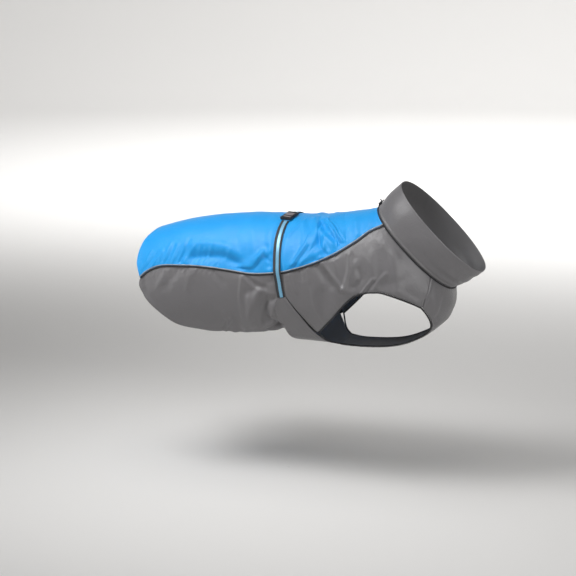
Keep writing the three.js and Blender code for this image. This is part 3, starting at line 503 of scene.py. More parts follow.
def gatherHeight(at, turn, x):
    above = (seamTurnAt(at) - turn) * girthStep(at)
    phase = (x - gathers["firstX"] - gathers["lean"] * above / gathers["length"]) / gathers["pitch"]
    inRow = smooth(phase, -0.6, 0.6) * (1 - smooth(phase, gathers["count"] - 0.6, gathers["count"] + 0.6))
    uneven = 0.7 + 0.3 * np.sin(2.1 * np.round(phase) + 0.7)
    reach = gathers["length"] * (0.75 + 0.25 * np.cos(1.3 * np.round(phase)))
    fade = np.where(above > 0, 1 - smooth(above, 0.35 * reach, reach), np.exp(-(above / 9) ** 2))
    wave = np.cos(2 * np.pi * phase)
    sharper = wave + 0.25 * np.cos(4 * np.pi * phase + 0.5)
    height = gathers["height"] * smooth(np.abs(above), 2, 10) * uneven * inRow * fade * sharper
    return np.where(above < -2 * gathers["length"], 0, height)


def foldHeight(at, turn):
    point = bodyPoint(at, turn)
    x, z = point[..., 0].ravel(), point[..., 2].ravel()
    flatAt, flatTurn = (np.broadcast_to(value, point.shape[:-1]).ravel() for value in (at, turn))
    left = np.sin(np.radians(flatTurn)) < 0
    ownTurn = np.degrees(np.arccos(np.cos(np.radians(flatTurn))))
    height = gatherHeight(flatAt, ownTurn, x)
    toSeam = np.abs(seamTurnAt(flatAt) - ownTurn) * girthStep(flatAt)
    heldAtSeam = smooth(toSeam, 4, 13)
    loose = smooth(toSeam, 1, 7)
    for index, fold in enumerate(mainFolds):
        held = heldAtSeam if fold["width"] < broadFold else 1
        for side, own in ((~left, fold), (left, leftFold(fold, index))):
            if side.any():
                height[side] += (held * foldAt(own, x, z))[side]
    for index, fold in enumerate(smallFolds):
        for side, own in ((~left, fold), (left, leftFold(fold, index + 3))):
            if side.any():
                height[side] += (loose * foldAt(own, x, z))[side]
    fromStrap = np.abs(x - strapX(ownTurn))
    clear = np.where(ownTurn < 108, smooth(fromStrap, 8, 15), 1)
    cinched = girthStrap["cinch"] * smooth(fromStrap, 8, 16) * (1 - smooth(fromStrap, 18, 44))
    height = height + cinched * smooth(ownTurn, 10, 26) * (1 - smooth(ownTurn, 90, 106))
    clear = clear * (1 - smooth(flatAt, neckAt - 1.2, neckAt - 0.1)) * smooth(ownTurn, 0, 16)
    return (height * clear).reshape(point.shape[:-1])


# Small unevenness of the cloth: soft dents and finer crumples, from noise with a fixed place
unevenness = {
    "dentSize": 46, "dentHeight": 0.75,
    "creaseSize": 17, "creaseHeight": 0.5,
    "crumpleSize": 7, "crumpleHeight": 0.1,
}


def noiseOn(points, size, shift):
    flat = points.reshape(-1, 3) / size + shift
    return np.array([noise.noise(Vector(row)) for row in flat]).reshape(points.shape[:-1])


def uneven(points, amount=1.0):
    dents = noiseOn(points, unevenness["dentSize"], 3.1) * unevenness["dentHeight"]
    stretched = points * [1.0, 0.55, 0.55]
    ridges = 0.35 - np.abs(noiseOn(stretched, unevenness["creaseSize"], 11.7))
    where = smooth(noiseOn(points, 60, 27.3), -0.1, 0.35)
    creases = ridges * where * unevenness["creaseHeight"]
    crumples = noiseOn(points, unevenness["crumpleSize"], 5.5) * unevenness["crumpleHeight"]
    return amount * (dents + creases + crumples)


# A surface between four edges. A larger grip holds the bend of the end edge nearer to that edge.
def patch(first, last, start, end, grip=1.0):
    def surface(s, t):
        s2, t2 = s[:, None, None], t[None, :, None]
        ruled = (1 - t2) * first(s)[:, None] + t2 * last(s)[:, None]
        zero, one = np.array([0.0]), np.array([1.0])
        startBend = start(t)[None] - (1 - t2) * first(zero)[0] - t2 * last(zero)[0]
        endBend = end(t)[None] - (1 - t2) * first(one)[0] - t2 * last(one)[0]
        return ruled + (1 - s2) * startBend + s2 ** grip * endBend
    return surface


# Shares across a length, close together near both ends where the hems and seams are, and in a fine stretch
def spaced(length, step, fine=(0, 0, 1)):
    near = [0, 0.5, 1.2, 2.1, 3.2, 4.5, 6, 7.2, 8.4, 10]
    out = list(near)
    while out[-1] < length - near[-1] - step * 0.7:
        inFine = fine[0] <= out[-1] / length <= fine[1]
        out.append(out[-1] + (fine[2] if inFine else step))
    return np.array(out[:-1] + [length - v for v in reversed(near)]) / length


# How each kind of cloth edge is finished: the dip of the edge itself, the raised band of a hem and its
# stitch line, and the puckers beside it
plainEdge = {"dip": 0, "dipWidth": 1, "raise": 0, "band": 0, "stitch": 0, "pucker": 0,
             "pitch": 10, "decay": 8}
edgeForms = {
    "seam": {**plainEdge, "dip": 1.0, "dipWidth": 2.8, "pucker": 0.42, "pitch": 10.5},
    "hem": {**plainEdge, "dip": 0.7, "dipWidth": 1.1, "raise": 0.45, "band": 9.5, "stitch": 7.2,
            "pucker": 0.34, "pitch": 9, "decay": 9},
    "bound": {**plainEdge, "dip": 0.5, "dipWidth": 2.4, "pucker": 0.36, "pitch": 11, "decay": 9},
    "neck": {**plainEdge, "dip": 0.4, "dipWidth": 0.6, "pucker": 0.3, "pitch": 12, "decay": 9},
    "under": plainEdge,
}


def edgeHeight(kind, away, along, seed):
    form = edgeForms[kind]
    height = -form["dip"] * (1 - smooth(away, 0, form["dipWidth"]))
    if form["band"]:
        height = height + form["raise"] * (1 - smooth(away, form["band"], form["band"] + 1.4))
    if kind == "neck":
        height = height + 1.5 * smooth(away, 0.4, 2.1) * (1 - smooth(away, 2.7, 8))
    if form["stitch"]:
        height = height - 0.3 * np.exp(-((away - form["stitch"]) / 0.9) ** 2)
    if form["pucker"]:
        knots = np.arange(0, along.max() + 4, 3.0)
        drift = np.interp(along, knots, [noise.noise(Vector((v / 23, seed * 3.7, 0.4))) for v in knots])
        size = np.interp(along, knots, [noise.noise(Vector((v / 31, seed * 1.9, 7.4))) for v in knots])
        wave = np.sin(2 * np.pi * (along / form["pitch"] + 1.3 * drift))
        fade = np.exp(-away / form["decay"]) * smooth(away, 0.4, 3)
        height = height + form["pucker"] * (0.65 + 0.9 * size) * wave * fade
    return height


def runLengths(points, axis):
    steps = np.linalg.norm(np.diff(points, axis=axis), axis=-1)
    pad = [(1, 0), (0, 0)] if axis == 0 else [(0, 0), (1, 0)]
    return np.pad(np.cumsum(steps, axis=axis), pad)


# Outer and inner points of a sewn piece over its patch of the body, with its edges' finish
def clothForm(surface, alongShares, acrossShares, edges, liftAt=None, seed=1, crumpled=1.0):
    grid = surface(alongShares, acrossShares)
    at, turn = grid[..., 0], grid[..., 1]
    base, outward = bodyPoint(at, turn), bodyNormal(at, turn)
    downLength, overLength = runLengths(base, 0), runLengths(base, 1)
    height = foldHeight(at, turn)
    if liftAt is not None:
        height = height + liftAt(turn)
    calm = np.ones_like(height)
    away = {
        "start": downLength, "end": downLength[-1:] - downLength,
        "first": overLength, "last": overLength[:, -1:] - overLength,
    }
    thick = np.full_like(height, cloth["thickness"])
    for number, (side, kind) in enumerate(edges.items()):
        along = overLength if side in ("start", "end") else downLength
        height = height + edgeHeight(kind, away[side], along, seed + number)
        if kind != "under":
            calm = calm * smooth(away[side], 0, 14)
        if kind == "hem":
            thick = thick + 0.6 * (1 - smooth(away[side], 9, 10.5))
    ridge = np.degrees(np.arccos(np.cos(np.radians(turn))))
    height = height + uneven(base, crumpled) * (0.35 + 0.65 * calm) * (0.4 + 0.6 * smooth(ridge, 0, 20))
    outer = base + outward * (height + cloth["wall"])[..., None]
    inner = outer - outward * thick[..., None]
    return {"outer": outer, "inner": inner, "outward": outward, "u": downLength, "v": overLength}


def finishMesh(name, vertices, faces, materials, faceSlots=None, uvs=None):
    mesh = bpy.data.meshes.new(name)
    mesh.from_pydata((np.asarray(vertices) * toMetres).tolist(), [], faces)
    for finish in materials:
        mesh.materials.append(finish)
    if faceSlots is not None:
        mesh.polygons.foreach_set("material_index", np.asarray(faceSlots, dtype=np.int32))
    if uvs is not None:
        layer = mesh.uv_layers.new(name="clothUV")
        corners = np.zeros(len(mesh.loops), dtype=np.int32)
        mesh.loops.foreach_get("vertex_index", corners)
        layer.data.foreach_set("uv", np.asarray(uvs, dtype=np.float32)[corners].ravel())
    smoothShaded(mesh)
    mesh.update()
    return addObject(name, mesh)


def signedVolume(vertices, faces):
    vertices = np.asarray(vertices)
    total = 0.0
    quads = np.array([face for face in faces if len(face) == 4])
    for a, b, c in ((0, 1, 2), (0, 2, 3)):
        crossed = np.cross(vertices[quads[:, b]], vertices[quads[:, c]])
        total += np.einsum("ij,ij->", vertices[quads[:, a]], crossed)
    return total


def shellMesh(name, form, materials, ring=False):
    outer, inner = form["outer"], form["inner"]
    columns, rows = outer.shape[:2]
    count = columns * rows
    index = np.arange(count).reshape(columns, rows)
    if ring:
        index = np.vstack([index, index[:1]])
    a, b, c, d = index[:-1, :-1], index[1:, :-1], index[1:, 1:], index[:-1, 1:]
    top = np.stack([a, b, c, d], -1).reshape(-1, 4)
    bottom = top[:, ::-1] + count
    rims = [index[:, 0], index[::-1, -1]]
    if not ring:
        rims += [index[0, ::-1], index[-1, :]]
    walls = []
    for line in rims:
        walls.append(np.stack([line[1:], line[:-1], line[:-1] + count, line[1:] + count], -1))
    walls = np.vstack(walls)
    vertices = np.vstack([outer.reshape(-1, 3), inner.reshape(-1, 3)])
    faces = np.vstack([top, walls, bottom])
    if signedVolume(vertices, faces) < 0:
        faces = faces[:, ::-1]
    slots = [0] * (len(top) + len(walls)) + [1] * len(bottom)
    uvs = np.stack([form["u"].ravel(), form["v"].ravel()], -1) * toMetres
    return finishMesh(name, vertices, faces.tolist(), materials, slots, np.vstack([uvs, uvs]))


# A node with its settings, and its inputs as values or as links from other nodes
def addNode(tree, kind, inputs, **settings):
    node = tree.nodes.new(kind)
    for label, value in settings.items():
        setattr(node, label, value)
    for label, value in inputs.items():
        if isinstance(value, bpy.types.NodeSocket):
            tree.links.new(value, node.inputs[label])
        else:
            node.inputs[label].default_value = value
    return node


def maths(tree, operation, *values):
    return addNode(tree, "ShaderNodeMath", dict(enumerate(values)), operation=operation).outputs[0]


def noiseNode(tree, vector, scale, detail, roughness):
    inputs = {"Detail": detail, "Roughness": roughness, "Scale": scale, "Vector": vector}
    return addNode(tree, "ShaderNodeTexNoise", inputs).outputs["Fac"]


# Shader node groups that the materials share, each with a height for bump and a tone for colour
def newGroup(name, inputs):
    group = bpy.data.node_groups.new(name, "ShaderNodeTree")
    for label, value in inputs.items():
        socket = group.interface.new_socket(name=label, in_out="INPUT", socket_type="NodeSocketFloat")
        socket.default_value = value
    for label in ("Height", "Tone"):
        group.interface.new_socket(name=label, in_out="OUTPUT", socket_type="NodeSocketFloat")
    given = group.nodes.new("NodeGroupInput").outputs
    spot = group.nodes.new("ShaderNodeTexCoord").outputs
    split = addNode(group, "ShaderNodeSeparateXYZ", {0: spot["UV"]}).outputs
    return group, given, spot["Object"], split["X"], split["Y"]


def buildWeaveGroup():
    inputs = {"Threads": 1500.0, "Weave": 0.25, "Crinkle": 0.6, "Crinkles": 90.0}
    group, given, spot, x, y = newGroup("plainWeave", inputs)
    turns = maths(group, "MULTIPLY", given["Threads"], math.pi)
    warp = maths(group, "SINE", maths(group, "MULTIPLY", x, turns))
    weft = maths(group, "SINE", maths(group, "MULTIPLY", y, turns))
    threads = maths(group, "MULTIPLY", maths(group, "MULTIPLY", warp, weft), given["Weave"])
    fine = noiseNode(group, spot, given["Crinkles"], 4, 0.55)
    ridged = maths(group, "ABSOLUTE", maths(group, "MULTIPLY_ADD", fine, 2.0, -1.0))
    crinkled = maths(group, "MULTIPLY", maths(group, "SUBTRACT", 1.0, ridged), given["Crinkle"])
    broad = maths(group, "MULTIPLY", noiseNode(group, spot, 9.0, 2, 0.5), 0.75)
    addNode(group, "NodeGroupOutput", {
        "Height": maths(group, "ADD", threads, crinkled),
        "Tone": maths(group, "MULTIPLY_ADD", fine, 0.25, broad),
    })
    return group


def buildRibGroup():
    group, given, spot, x, y = newGroup("wovenRibs", {"Ribs": 700.0, "Strands": 1400.0, "Fuzz": 0.3})
    along = maths(group, "MULTIPLY", x, maths(group, "MULTIPLY", given["Ribs"], 2 * math.pi))
    over = maths(group, "MULTIPLY", y, maths(group, "MULTIPLY", given["Strands"], 2 * math.pi))
    shifted = maths(group, "ADD", along, maths(group, "MULTIPLY", maths(group, "SINE", over), 0.9))
    ribs = maths(group, "MULTIPLY_ADD", maths(group, "SINE", shifted), 0.35, 0.5)
    fuzz = maths(group, "MULTIPLY", noiseNode(group, spot, 900.0, 2, 0.6), given["Fuzz"])
    addNode(group, "NodeGroupOutput", {
        "Height": maths(group, "ADD", ribs, fuzz),
        "Tone": maths(group, "ADD", maths(group, "MULTIPLY", ribs, 0.6), fuzz),
    })
    return group


def buildMouldGroup():
    group, given, spot = newGroup("mouldedSkin", {"Grain": 2500.0, "Wear": 60.0})[:3]
    grain = noiseNode(group, spot, given["Grain"], 2, 0.5)
    wear = noiseNode(group, spot, given["Wear"], 4, 0.65)
    tone = maths(group, "MULTIPLY_ADD", wear, 0.8, maths(group, "MULTIPLY", grain, 0.2))
    addNode(group, "NodeGroupOutput", {"Height": grain, "Tone": tone})
    return group


weaveGroup, ribGroup, mouldGroup = buildWeaveGroup(), buildRibGroup(), buildMouldGroup()


# A material with colour between two tones, and bump and roughness from a shared group
def makeFinish(name, group, values, dark, light, roughness, bump, shader=None, roughSwing=0.08):
    finish = bpy.data.materials.new(name)
    finish.use_nodes = True
    tree = finish.node_tree
    surface = addNode(tree, "ShaderNodeGroup", {}, node_tree=group)
    for label, value in values.items():
        surface.inputs[label].default_value = value
    height, tone = surface.outputs["Height"], surface.outputs["Tone"]
    mix = addNode(tree, "ShaderNodeMix", {"Factor": tone}, data_type="RGBA")
    mix.inputs["A"].default_value = (*dark, 1)
    mix.inputs["B"].default_value = (*light, 1)
    rough = maths(tree, "MULTIPLY_ADD", tone, roughSwing, roughness - roughSwing / 2)
    relief = addNode(tree, "ShaderNodeBump", {"Strength": 1, "Distance": bump, "Height": height})
    principled = tree.nodes["Principled BSDF"]
    tree.links.new(mix.outputs["Result"], principled.inputs["Base Color"])
    tree.links.new(rough, principled.inputs["Roughness"])
    tree.links.new(relief.outputs["Normal"], principled.inputs["Normal"])
    for label, value in (shader or {}).items():
        principled.inputs[label].default_value = value
    return finish


nylon = {"Threads": 1500.0, "Weave": 0.12, "Crinkle": 0.85, "Crinkles": 120.0}
blueNylon = makeFinish("blueNylon", weaveGroup, nylon,
                       (0.010, 0.275, 0.71), (0.022, 0.37, 0.83), 0.42, 0.0004, {"Specular IOR Level": 0.34})
blueReverse = makeFinish("blueReverse", weaveGroup, nylon,
                         (0.03, 0.27, 0.60), (0.05, 0.33, 0.68), 0.62, 0.00022)
greyNylon = makeFinish("greyNylon", weaveGroup, nylon,
                       (0.128, 0.124, 0.129), (0.176, 0.171, 0.178), 0.40, 0.0004,
                       {"Specular IOR Level": 0.62, "Sheen Weight": 0.04, "Sheen Roughness": 0.4})
greyReverse = makeFinish("greyReverse", weaveGroup, nylon,
                         (0.10, 0.098, 0.10), (0.13, 0.127, 0.13), 0.64, 0.00022)
reflectiveCloth = makeFinish("reflectiveCloth", weaveGroup, {**nylon, "Threads": 2600.0, "Crinkle": 0.3},
                             (0.24, 0.28, 0.31), (0.36, 0.40, 0.43), 0.38, 0.0001, {"Metallic": 0.2})
strapStripe = makeFinish("strapStripe", weaveGroup, {**nylon, "Threads": 2200.0, "Crinkle": 0.3},
                         (0.15, 0.37, 0.53), (0.24, 0.49, 0.67), 0.34, 0.0001, {"Metallic": 0.2})
blackTape = makeFinish("blackTape", ribGroup, {"Ribs": 900.0, "Strands": 1100.0, "Fuzz": 0.3},
                       (0.010, 0.010, 0.011), (0.034, 0.034, 0.037), 0.72, 0.00012)
blackWebbing = makeFinish("blackWebbing", ribGroup, {"Ribs": 560.0, "Strands": 620.0, "Fuzz": 0.25},
                          (0.012, 0.013, 0.015), (0.052, 0.055, 0.06), 0.66, 0.0003)
blackCord = makeFinish("blackCord", ribGroup, {"Ribs": 650.0, "Strands": 290.0, "Fuzz": 0.2},
                       (0.008, 0.008, 0.009), (0.04, 0.04, 0.045), 0.68, 0.0003)
# Light grey plastic for the buckle's top pads: a painted reflection, standing for the sky mirrored on the
# black plastic
paintedSheenPlastic = makeFinish("paintedSheenPlastic", mouldGroup, {"Grain": 2600.0, "Wear": 90.0},
                          (0.13, 0.115, 0.125), (0.24, 0.215, 0.23), 0.32, 0.00004,
                          {"Specular IOR Level": 0.7})
blackPlastic = makeFinish("blackPlastic", mouldGroup, {"Grain": 2600.0, "Wear": 90.0},
                          (0.012, 0.012, 0.013), (0.03, 0.029, 0.031), 0.38, 0.00004)
threadGrey = makeFinish("threadGrey", mouldGroup, {"Grain": 3000.0, "Wear": 200.0},
                        (0.10, 0.10, 0.105), (0.18, 0.18, 0.185), 0.6, 0.00003)
threadBlue = makeFinish("threadBlue", mouldGroup, {"Grain": 3000.0, "Wear": 200.0},
                        (0.03, 0.27, 0.58), (0.06, 0.36, 0.70), 0.6, 0.00003)
threadBlack = makeFinish("threadBlack", mouldGroup, {"Grain": 3000.0, "Wear": 200.0},
                         (0.010, 0.010, 0.012), (0.035, 0.035, 0.038), 0.65, 0.00003)
print("materials made")


# Drawcord in the neck seam, from one free end through the lock, round the neck, and back out
drawcord = {
    "diameter": 2.2,
    "sides": 12,
    "tipRight": [[195.7, -2.4, 39], [197.6, -2, 37.2], [198.9, -1.5, 34.8]],
    "tipLeft": [[203.4, 2.3, 38], [201.9, 2, 36.3], [200.2, 1.6, 34.3]],
    "rise": [[198.8, 1.4, 32.6], [197.5, 1.4, 31.1], [196.3, 1.4, 29.7], [195, 1.4, 28.1],
             [193.8, 1.5, 26.7], [193.6, 3, 24.9]],
    "ring": [[194.4, 5.9, 24.1], [196, 19.7, 23.3], [198.5, 33, 20.9], [203.5, 47.9, 16], [212.2, 63.4, 7.5],
             [225.6, 77.8, -5.7], [244.8, 88.8, -24.6], [271.3, 93.7, -50.8], [300.5, 90.6, -79.6],
             [322.7, 79.4, -101.6], [339.9, 61, -118.6], [351, 36.1, -129.8], [354.7, 16.2, -133.4]],
    "throat": [355.4, 0, -134.1],
}


def sweepMesh(name, points, ups, section, materials, ring=False, uvAcross=None):
    along = np.roll(points, -1, 0) - np.roll(points, 1, 0)
    if not ring:
        along[0], along[-1] = points[1] - points[0], points[-1] - points[-2]
    along = unit(along)
    across = unit(np.cross(along, ups))
    up = unit(np.cross(across, along))
    section = np.asarray(section, float)
    if section.ndim == 2:
        section = np.broadcast_to(section, (len(points),) + section.shape)
    size = section.shape[1]
    vertices = points[:, None] + across[:, None] * section[..., :1] + up[:, None] * section[..., 1:]
    index = np.arange(len(points) * size).reshape(-1, size)
    if ring:
        index = np.vstack([index, index[:1]])
    after = np.roll(index, -1, 1)
    faces = np.stack([index[:-1], index[1:], after[1:], after[:-1]], -1).reshape(-1, 4)
    vertices = vertices.reshape(-1, 3)
    turned = signedVolume(vertices, faces) < 0
    faces = (faces[:, ::-1] if turned else faces).tolist()
    if not ring:
        first, last = list(range(size)), list(range(len(vertices) - size, len(vertices)))
        faces += [first if not turned else first[::-1], last[::-1] if not turned else last]
    run = runLength(points)
    if uvAcross is None:
        uvAcross = runLength(section[0])
    spread = np.broadcast_arrays(run[:, None], np.asarray(uvAcross)[None])
    uvs = np.stack(spread, -1).reshape(-1, 2) * toMetres
    return finishMesh(name, vertices, faces, materials, None, uvs)


def roundSection(radius, sides, side=0.0, height=0.0, flatten=1.0):
    angles = 2 * np.pi * (np.arange(sides) + 0.5) / sides
    return np.stack([side + radius * np.cos(angles), height + flatten * radius * np.sin(angles)], -1)


def softRectangle(left, right, low, high, radius, steps=3):
    corners = [(right - radius, low + radius, -90), (right - radius, high - radius, 0),
               (left + radius, high - radius, 90), (left + radius, low + radius, 180)]
    out = []
    for x, y, start in corners:
        for angle in np.radians(start + np.linspace(0, 90, steps + 1)):
            out.append((x + radius * math.cos(angle), y + radius * math.sin(angle)))
    return np.array(out)


def makeDrawcord(lock):
    flip = np.array([1, -1, 1])
    rise, ring = np.array(drawcord["rise"]), np.array(drawcord["ring"])
    knots = np.vstack([drawcord["tipRight"], rise * flip, ring * flip, [drawcord["throat"]], ring[::-1],
                       rise[::-1], np.array(drawcord["tipLeft"])[::-1]])
    line = throughKnots(knots, 8)
    run = runLength(line)
    even = np.arange(0, run[-1], 1.1)
    line = np.stack([np.interp(even, run, line[:, k]) for k in range(3)], -1)
    centre = np.array([275, 0, -55])
    radius = np.full(len(line), drawcord["diameter"] / 2)
    radius[:3] *= [0.55, 0.9, 1.08]
    radius[-3:] *= [1.08, 0.9, 0.55]
    section = radius[:, None, None] * roundSection(1, drawcord["sides"])[None]
    aroundCord = np.arange(drawcord["sides"]) * drawcord["diameter"] * math.pi / drawcord["sides"]
    piece = sweepMesh("drawcord", line, unit(line - centre), section, [blackCord], uvAcross=aroundCord)
    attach(piece, "root")
    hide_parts("neck_drawcord", "drawcord_end_R", "drawcord_end_L")


# Stitch rows by Geometry Nodes: short threads along a line, lying on the cloth
def buildStitchTree():
    tree = bpy.data.node_groups.new("stitchRow", "GeometryNodeTree")
    face = tree.interface
    face.new_socket(name="Geometry", in_out="INPUT", socket_type="NodeSocketGeometry")
    sockets = {}
    for label, kind in (("Pitch", "NodeSocketFloat"), ("Stitch Length", "NodeSocketFloat"),
                        ("Thread", "NodeSocketFloat"), ("Seed", "NodeSocketInt"),
                        ("Material", "NodeSocketMaterial")):
        sockets[label] = face.new_socket(name=label, in_out="INPUT", socket_type=kind).identifier
    face.new_socket(name="Geometry", in_out="OUTPUT", socket_type="NodeSocketGeometry")
    given = tree.nodes.new("NodeGroupInput").outputs
    line = addNode(tree, "GeometryNodeMeshToCurve", {"Mesh": given["Geometry"]}).outputs["Curve"]
    spots = addNode(tree, "GeometryNodeResampleCurve", {
        "Curve": line, "Length": given["Pitch"],
    }, mode="LENGTH")
    tangent = tree.nodes.new("GeometryNodeInputTangent").outputs["Tangent"]
    outward = addNode(tree, "GeometryNodeInputNamedAttribute", {"Name": "outward"}, data_type="FLOAT_VECTOR")
    alongLine = addNode(tree, "FunctionNodeAlignRotationToVector", {"Vector": tangent}, axis="X")
    onCloth = addNode(tree, "FunctionNodeAlignRotationToVector", {
        "Rotation": alongLine.outputs["Rotation"], "Vector": outward.outputs["Attribute"],
    }, axis="Z", pivot_axis="X")
    thread = addNode(tree, "GeometryNodeMeshIcoSphere", {"Radius": 0.5, "Subdivisions": 2})
    swing = addNode(tree, "FunctionNodeRandomValue", {
        0: (0.9, 0.9, 0.9), 1: (1.06, 1.06, 1.06), "Seed": given["Seed"],
    }, data_type="FLOAT_VECTOR")
    size = addNode(tree, "ShaderNodeCombineXYZ", {
        "X": given["Stitch Length"], "Y": given["Thread"], "Z": given["Thread"],
    })
    scale = addNode(tree, "ShaderNodeVectorMath", {
        0: size.outputs["Vector"], 1: swing.outputs["Value"],
    }, operation="MULTIPLY")
    place = addNode(tree, "GeometryNodeInstanceOnPoints", {
        "Points": spots.outputs["Curve"], "Instance": thread.outputs["Mesh"],
        "Rotation": onCloth.outputs["Rotation"], "Scale": scale.outputs["Vector"],
    })
    real = addNode(tree, "GeometryNodeRealizeInstances", {"Geometry": place.outputs["Instances"]})
    finish = addNode(tree, "GeometryNodeSetMaterial", {
        "Geometry": real.outputs["Geometry"], "Material": given["Material"],
    })
    addNode(tree, "NodeGroupOutput", {"Geometry": finish.outputs["Geometry"]})
    return tree, sockets


stitchTree, stitchSockets = buildStitchTree()
stitching = {
    "pitch": 3.3,
    "length": 2.7,
    "thread": 0.46,
    "sink": 0.02,
    "inset": 7.2,  # from a hem's edge
    "strapInset": 5.0,  # in front of the strap
    "seed": 7,
}


def stitchRows(name, rows, finish):
    vertices, edges, outward = [], [], []
    for points, ups in rows:
        start = len(vertices)
        vertices += (np.asarray(points) * toMetres).tolist()
        edges += [(start + k, start + k + 1) for k in range(len(points) - 1)]
        outward += np.asarray(ups).tolist()
    mesh = bpy.data.meshes.new(name + "Line")
    mesh.from_pydata(vertices, edges, [])
    layer = mesh.attributes.new("outward", "FLOAT_VECTOR", "POINT")
    layer.data.foreach_set("vector", np.asarray(outward, dtype=np.float32).ravel())
    guide = addObject(name + "Line", mesh)
    modifier = guide.modifiers.new("stitches", "NODES")
    modifier.node_group = stitchTree
    for label, key in (("Pitch", "pitch"), ("Stitch Length", "length"), ("Thread", "thread")):
        modifier[stitchSockets[label]] = stitching[key] * toMetres
    modifier[stitchSockets["Seed"]] = stitching["seed"]
    modifier[stitchSockets["Material"]] = finish
    seen = guide.evaluated_get(bpy.context.evaluated_depsgraph_get())
    made = bpy.data.meshes.new_from_object(seen)
    guide.modifiers.remove(modifier)
    bpy.data.objects.remove(guide)
    smoothShaded(made)
    stitches = addObject(name, made)
    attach(stitches, "root")
    return stitches


# A line on a piece at a fixed distance in from one of its edges
def lineInside(form, side, distance, trim=(0, 0)):
    outer, outward = form["outer"], form["outward"]
    along = form["u"] if side in ("start", "end") else form["v"]
    axis = 0 if side in ("start", "end") else 1
    if axis == 1:
        outer, outward, along = (np.swapaxes(values, 0, 1) for values in (outer, outward, along))
    if side in ("end", "last"):
        outer, outward = outer[::-1], outward[::-1]
        along = (along[-1:] - along)[::-1]
    points, ups = [], []
    for k in range(outer.shape[1]):
        place = min(distance, along[-1, k])
        points.append([np.interp(place, along[:, k], outer[:, k, c]) for c in range(3)])
        ups.append([np.interp(place, along[:, k], outward[:, k, c]) for c in range(3)])
    points, ups = np.array(points), unit(np.array(ups))
    run = runLength(points)
    keep = (run >= trim[0]) & (run <= run[-1] - trim[1])
    return points[keep] - ups[keep] * stitching["sink"], ups[keep]


def declareSheet(piece, nodes):
    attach(piece, "root")
    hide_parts(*nodes)


forms = {}
pieces = {}


def onSide(side):
    return (lambda curve: curve) if side == "Right" else mirroredEdge


def makeBack():
    ridge, hem = places["backHem"][0], places["backHem"][1:]
    tail = edge([[at, -turn] for at, turn in hem[::-1]] + [[ridge[0], 0]] + hem)

    def left(share):
        return sideSeam(share) * [1, -1]
    surface = patch(left, sideSeam, tail, acrossBody(neckAt, -seamTurn, seamTurn))
    forms["back"] = clothForm(surface, spaced(545, 2.4, (0.6, 0.86, 1.5)), spaced(290, 1.9),
                              {"start": "hem", "end": "neck", "first": "seam", "last": "seam"}, seed=2)
    pieces["back"] = shellMesh("backPanel", forms["back"], [blueNylon, blueReverse])


def makeSideRear(side):
    own = onSide(side)
    top, bottom, rear = part(sideSeam, 0, seamSplit), edge(places["sideHem"]), edge(places["rearHemCurve"])
    front = joined([edge(places["underStrap"]), edge(places["sideRearFront"])], [0.5])
    corner = rear(np.array([0.0]))[0] - top(np.array([0.0]))[0]

    def trimmedTop(share):
        share = np.asarray(share, float)
        return top(share) + corner * ((1 - share) ** 12)[:, None]
    surface = patch(own(trimmedTop), own(bottom), own(rear), own(front))
    key = "sideRear" + side
    edges = {"start": "hem", "end": "under", "first": "seam", "last": "hem"}
    forms[key] = clothForm(surface, spaced(320, 2.0), spaced(112, 2.0), edges, seed=5, crumpled=1.5)
    pieces[key] = shellMesh(key, forms[key], [greyNylon, greyReverse])


def makeSideFront(side):
    own = onSide(side)
    top = part(sideSeam, seamSplit, 1)
    rear = joined([edge(places["underStrap"]), edge(places["sideFrontCorner"])], [0.4])
    front = joined([acrossBody(neckAt, seamTurn, chestTurn), edge(places["chestSeam"])], [0.7])
    surface = patch(own(top), own(armholeEdge), own(rear), own(front), 2.5)
    key = "sideFront" + side
    edges = {"start": "hem", "end": "seam", "first": "seam", "last": "bound"}
    forms[key] = clothForm(surface, spaced(260, 2.0), spaced(140, 2.0), edges, seed=9, crumpled=1.5)
    pieces[key] = shellMesh(key, forms[key], [greyNylon, greyReverse])


def makeChest():
    right = joined([edge(places["chestSeam"]), chestFree], [chestSeamShare])
    neck = acrossBody(neckAt, chestTurn, 360 - chestTurn)
    surface = patch(neck, crossSeam, right, mirroredEdge(right))
    edges = {"start": "neck", "end": "bound", "first": "seam", "last": "seam"}
    forms["chest"] = clothForm(surface, spaced(170, 2.3), spaced(330, 2.4), edges, seed=13, crumpled=1.4)
    pieces["chest"] = shellMesh("chestPiece", forms["chest"], [greyNylon, greyReverse])


def overlapLift(turn):
    own = np.where(turn > 180, 360 - turn, turn)
    return cloth["overlap"] * (1 - smooth(own, 144, 162))


def makeBelly():
    rearHalf = places["flapRear"] + places["bandRearBelow"]
    rear = edge(rearHalf + [[at, 360 - turn] for at, turn in rearHalf[-2::-1]])
    tip = edge(places["flapTip"])
    surface = patch(rear, bandFront, tip, mirroredEdge(tip))
    forms["belly"] = clothForm(surface, spaced(400, 2.3), spaced(85, 2.1),
                               {"start": "under", "end": "under", "first": "hem", "last": "hem"},
                               overlapLift, seed=17, crumpled=0.7)
    pieces["belly"] = shellMesh("bellyBand", forms["belly"], [greyNylon, greyReverse])


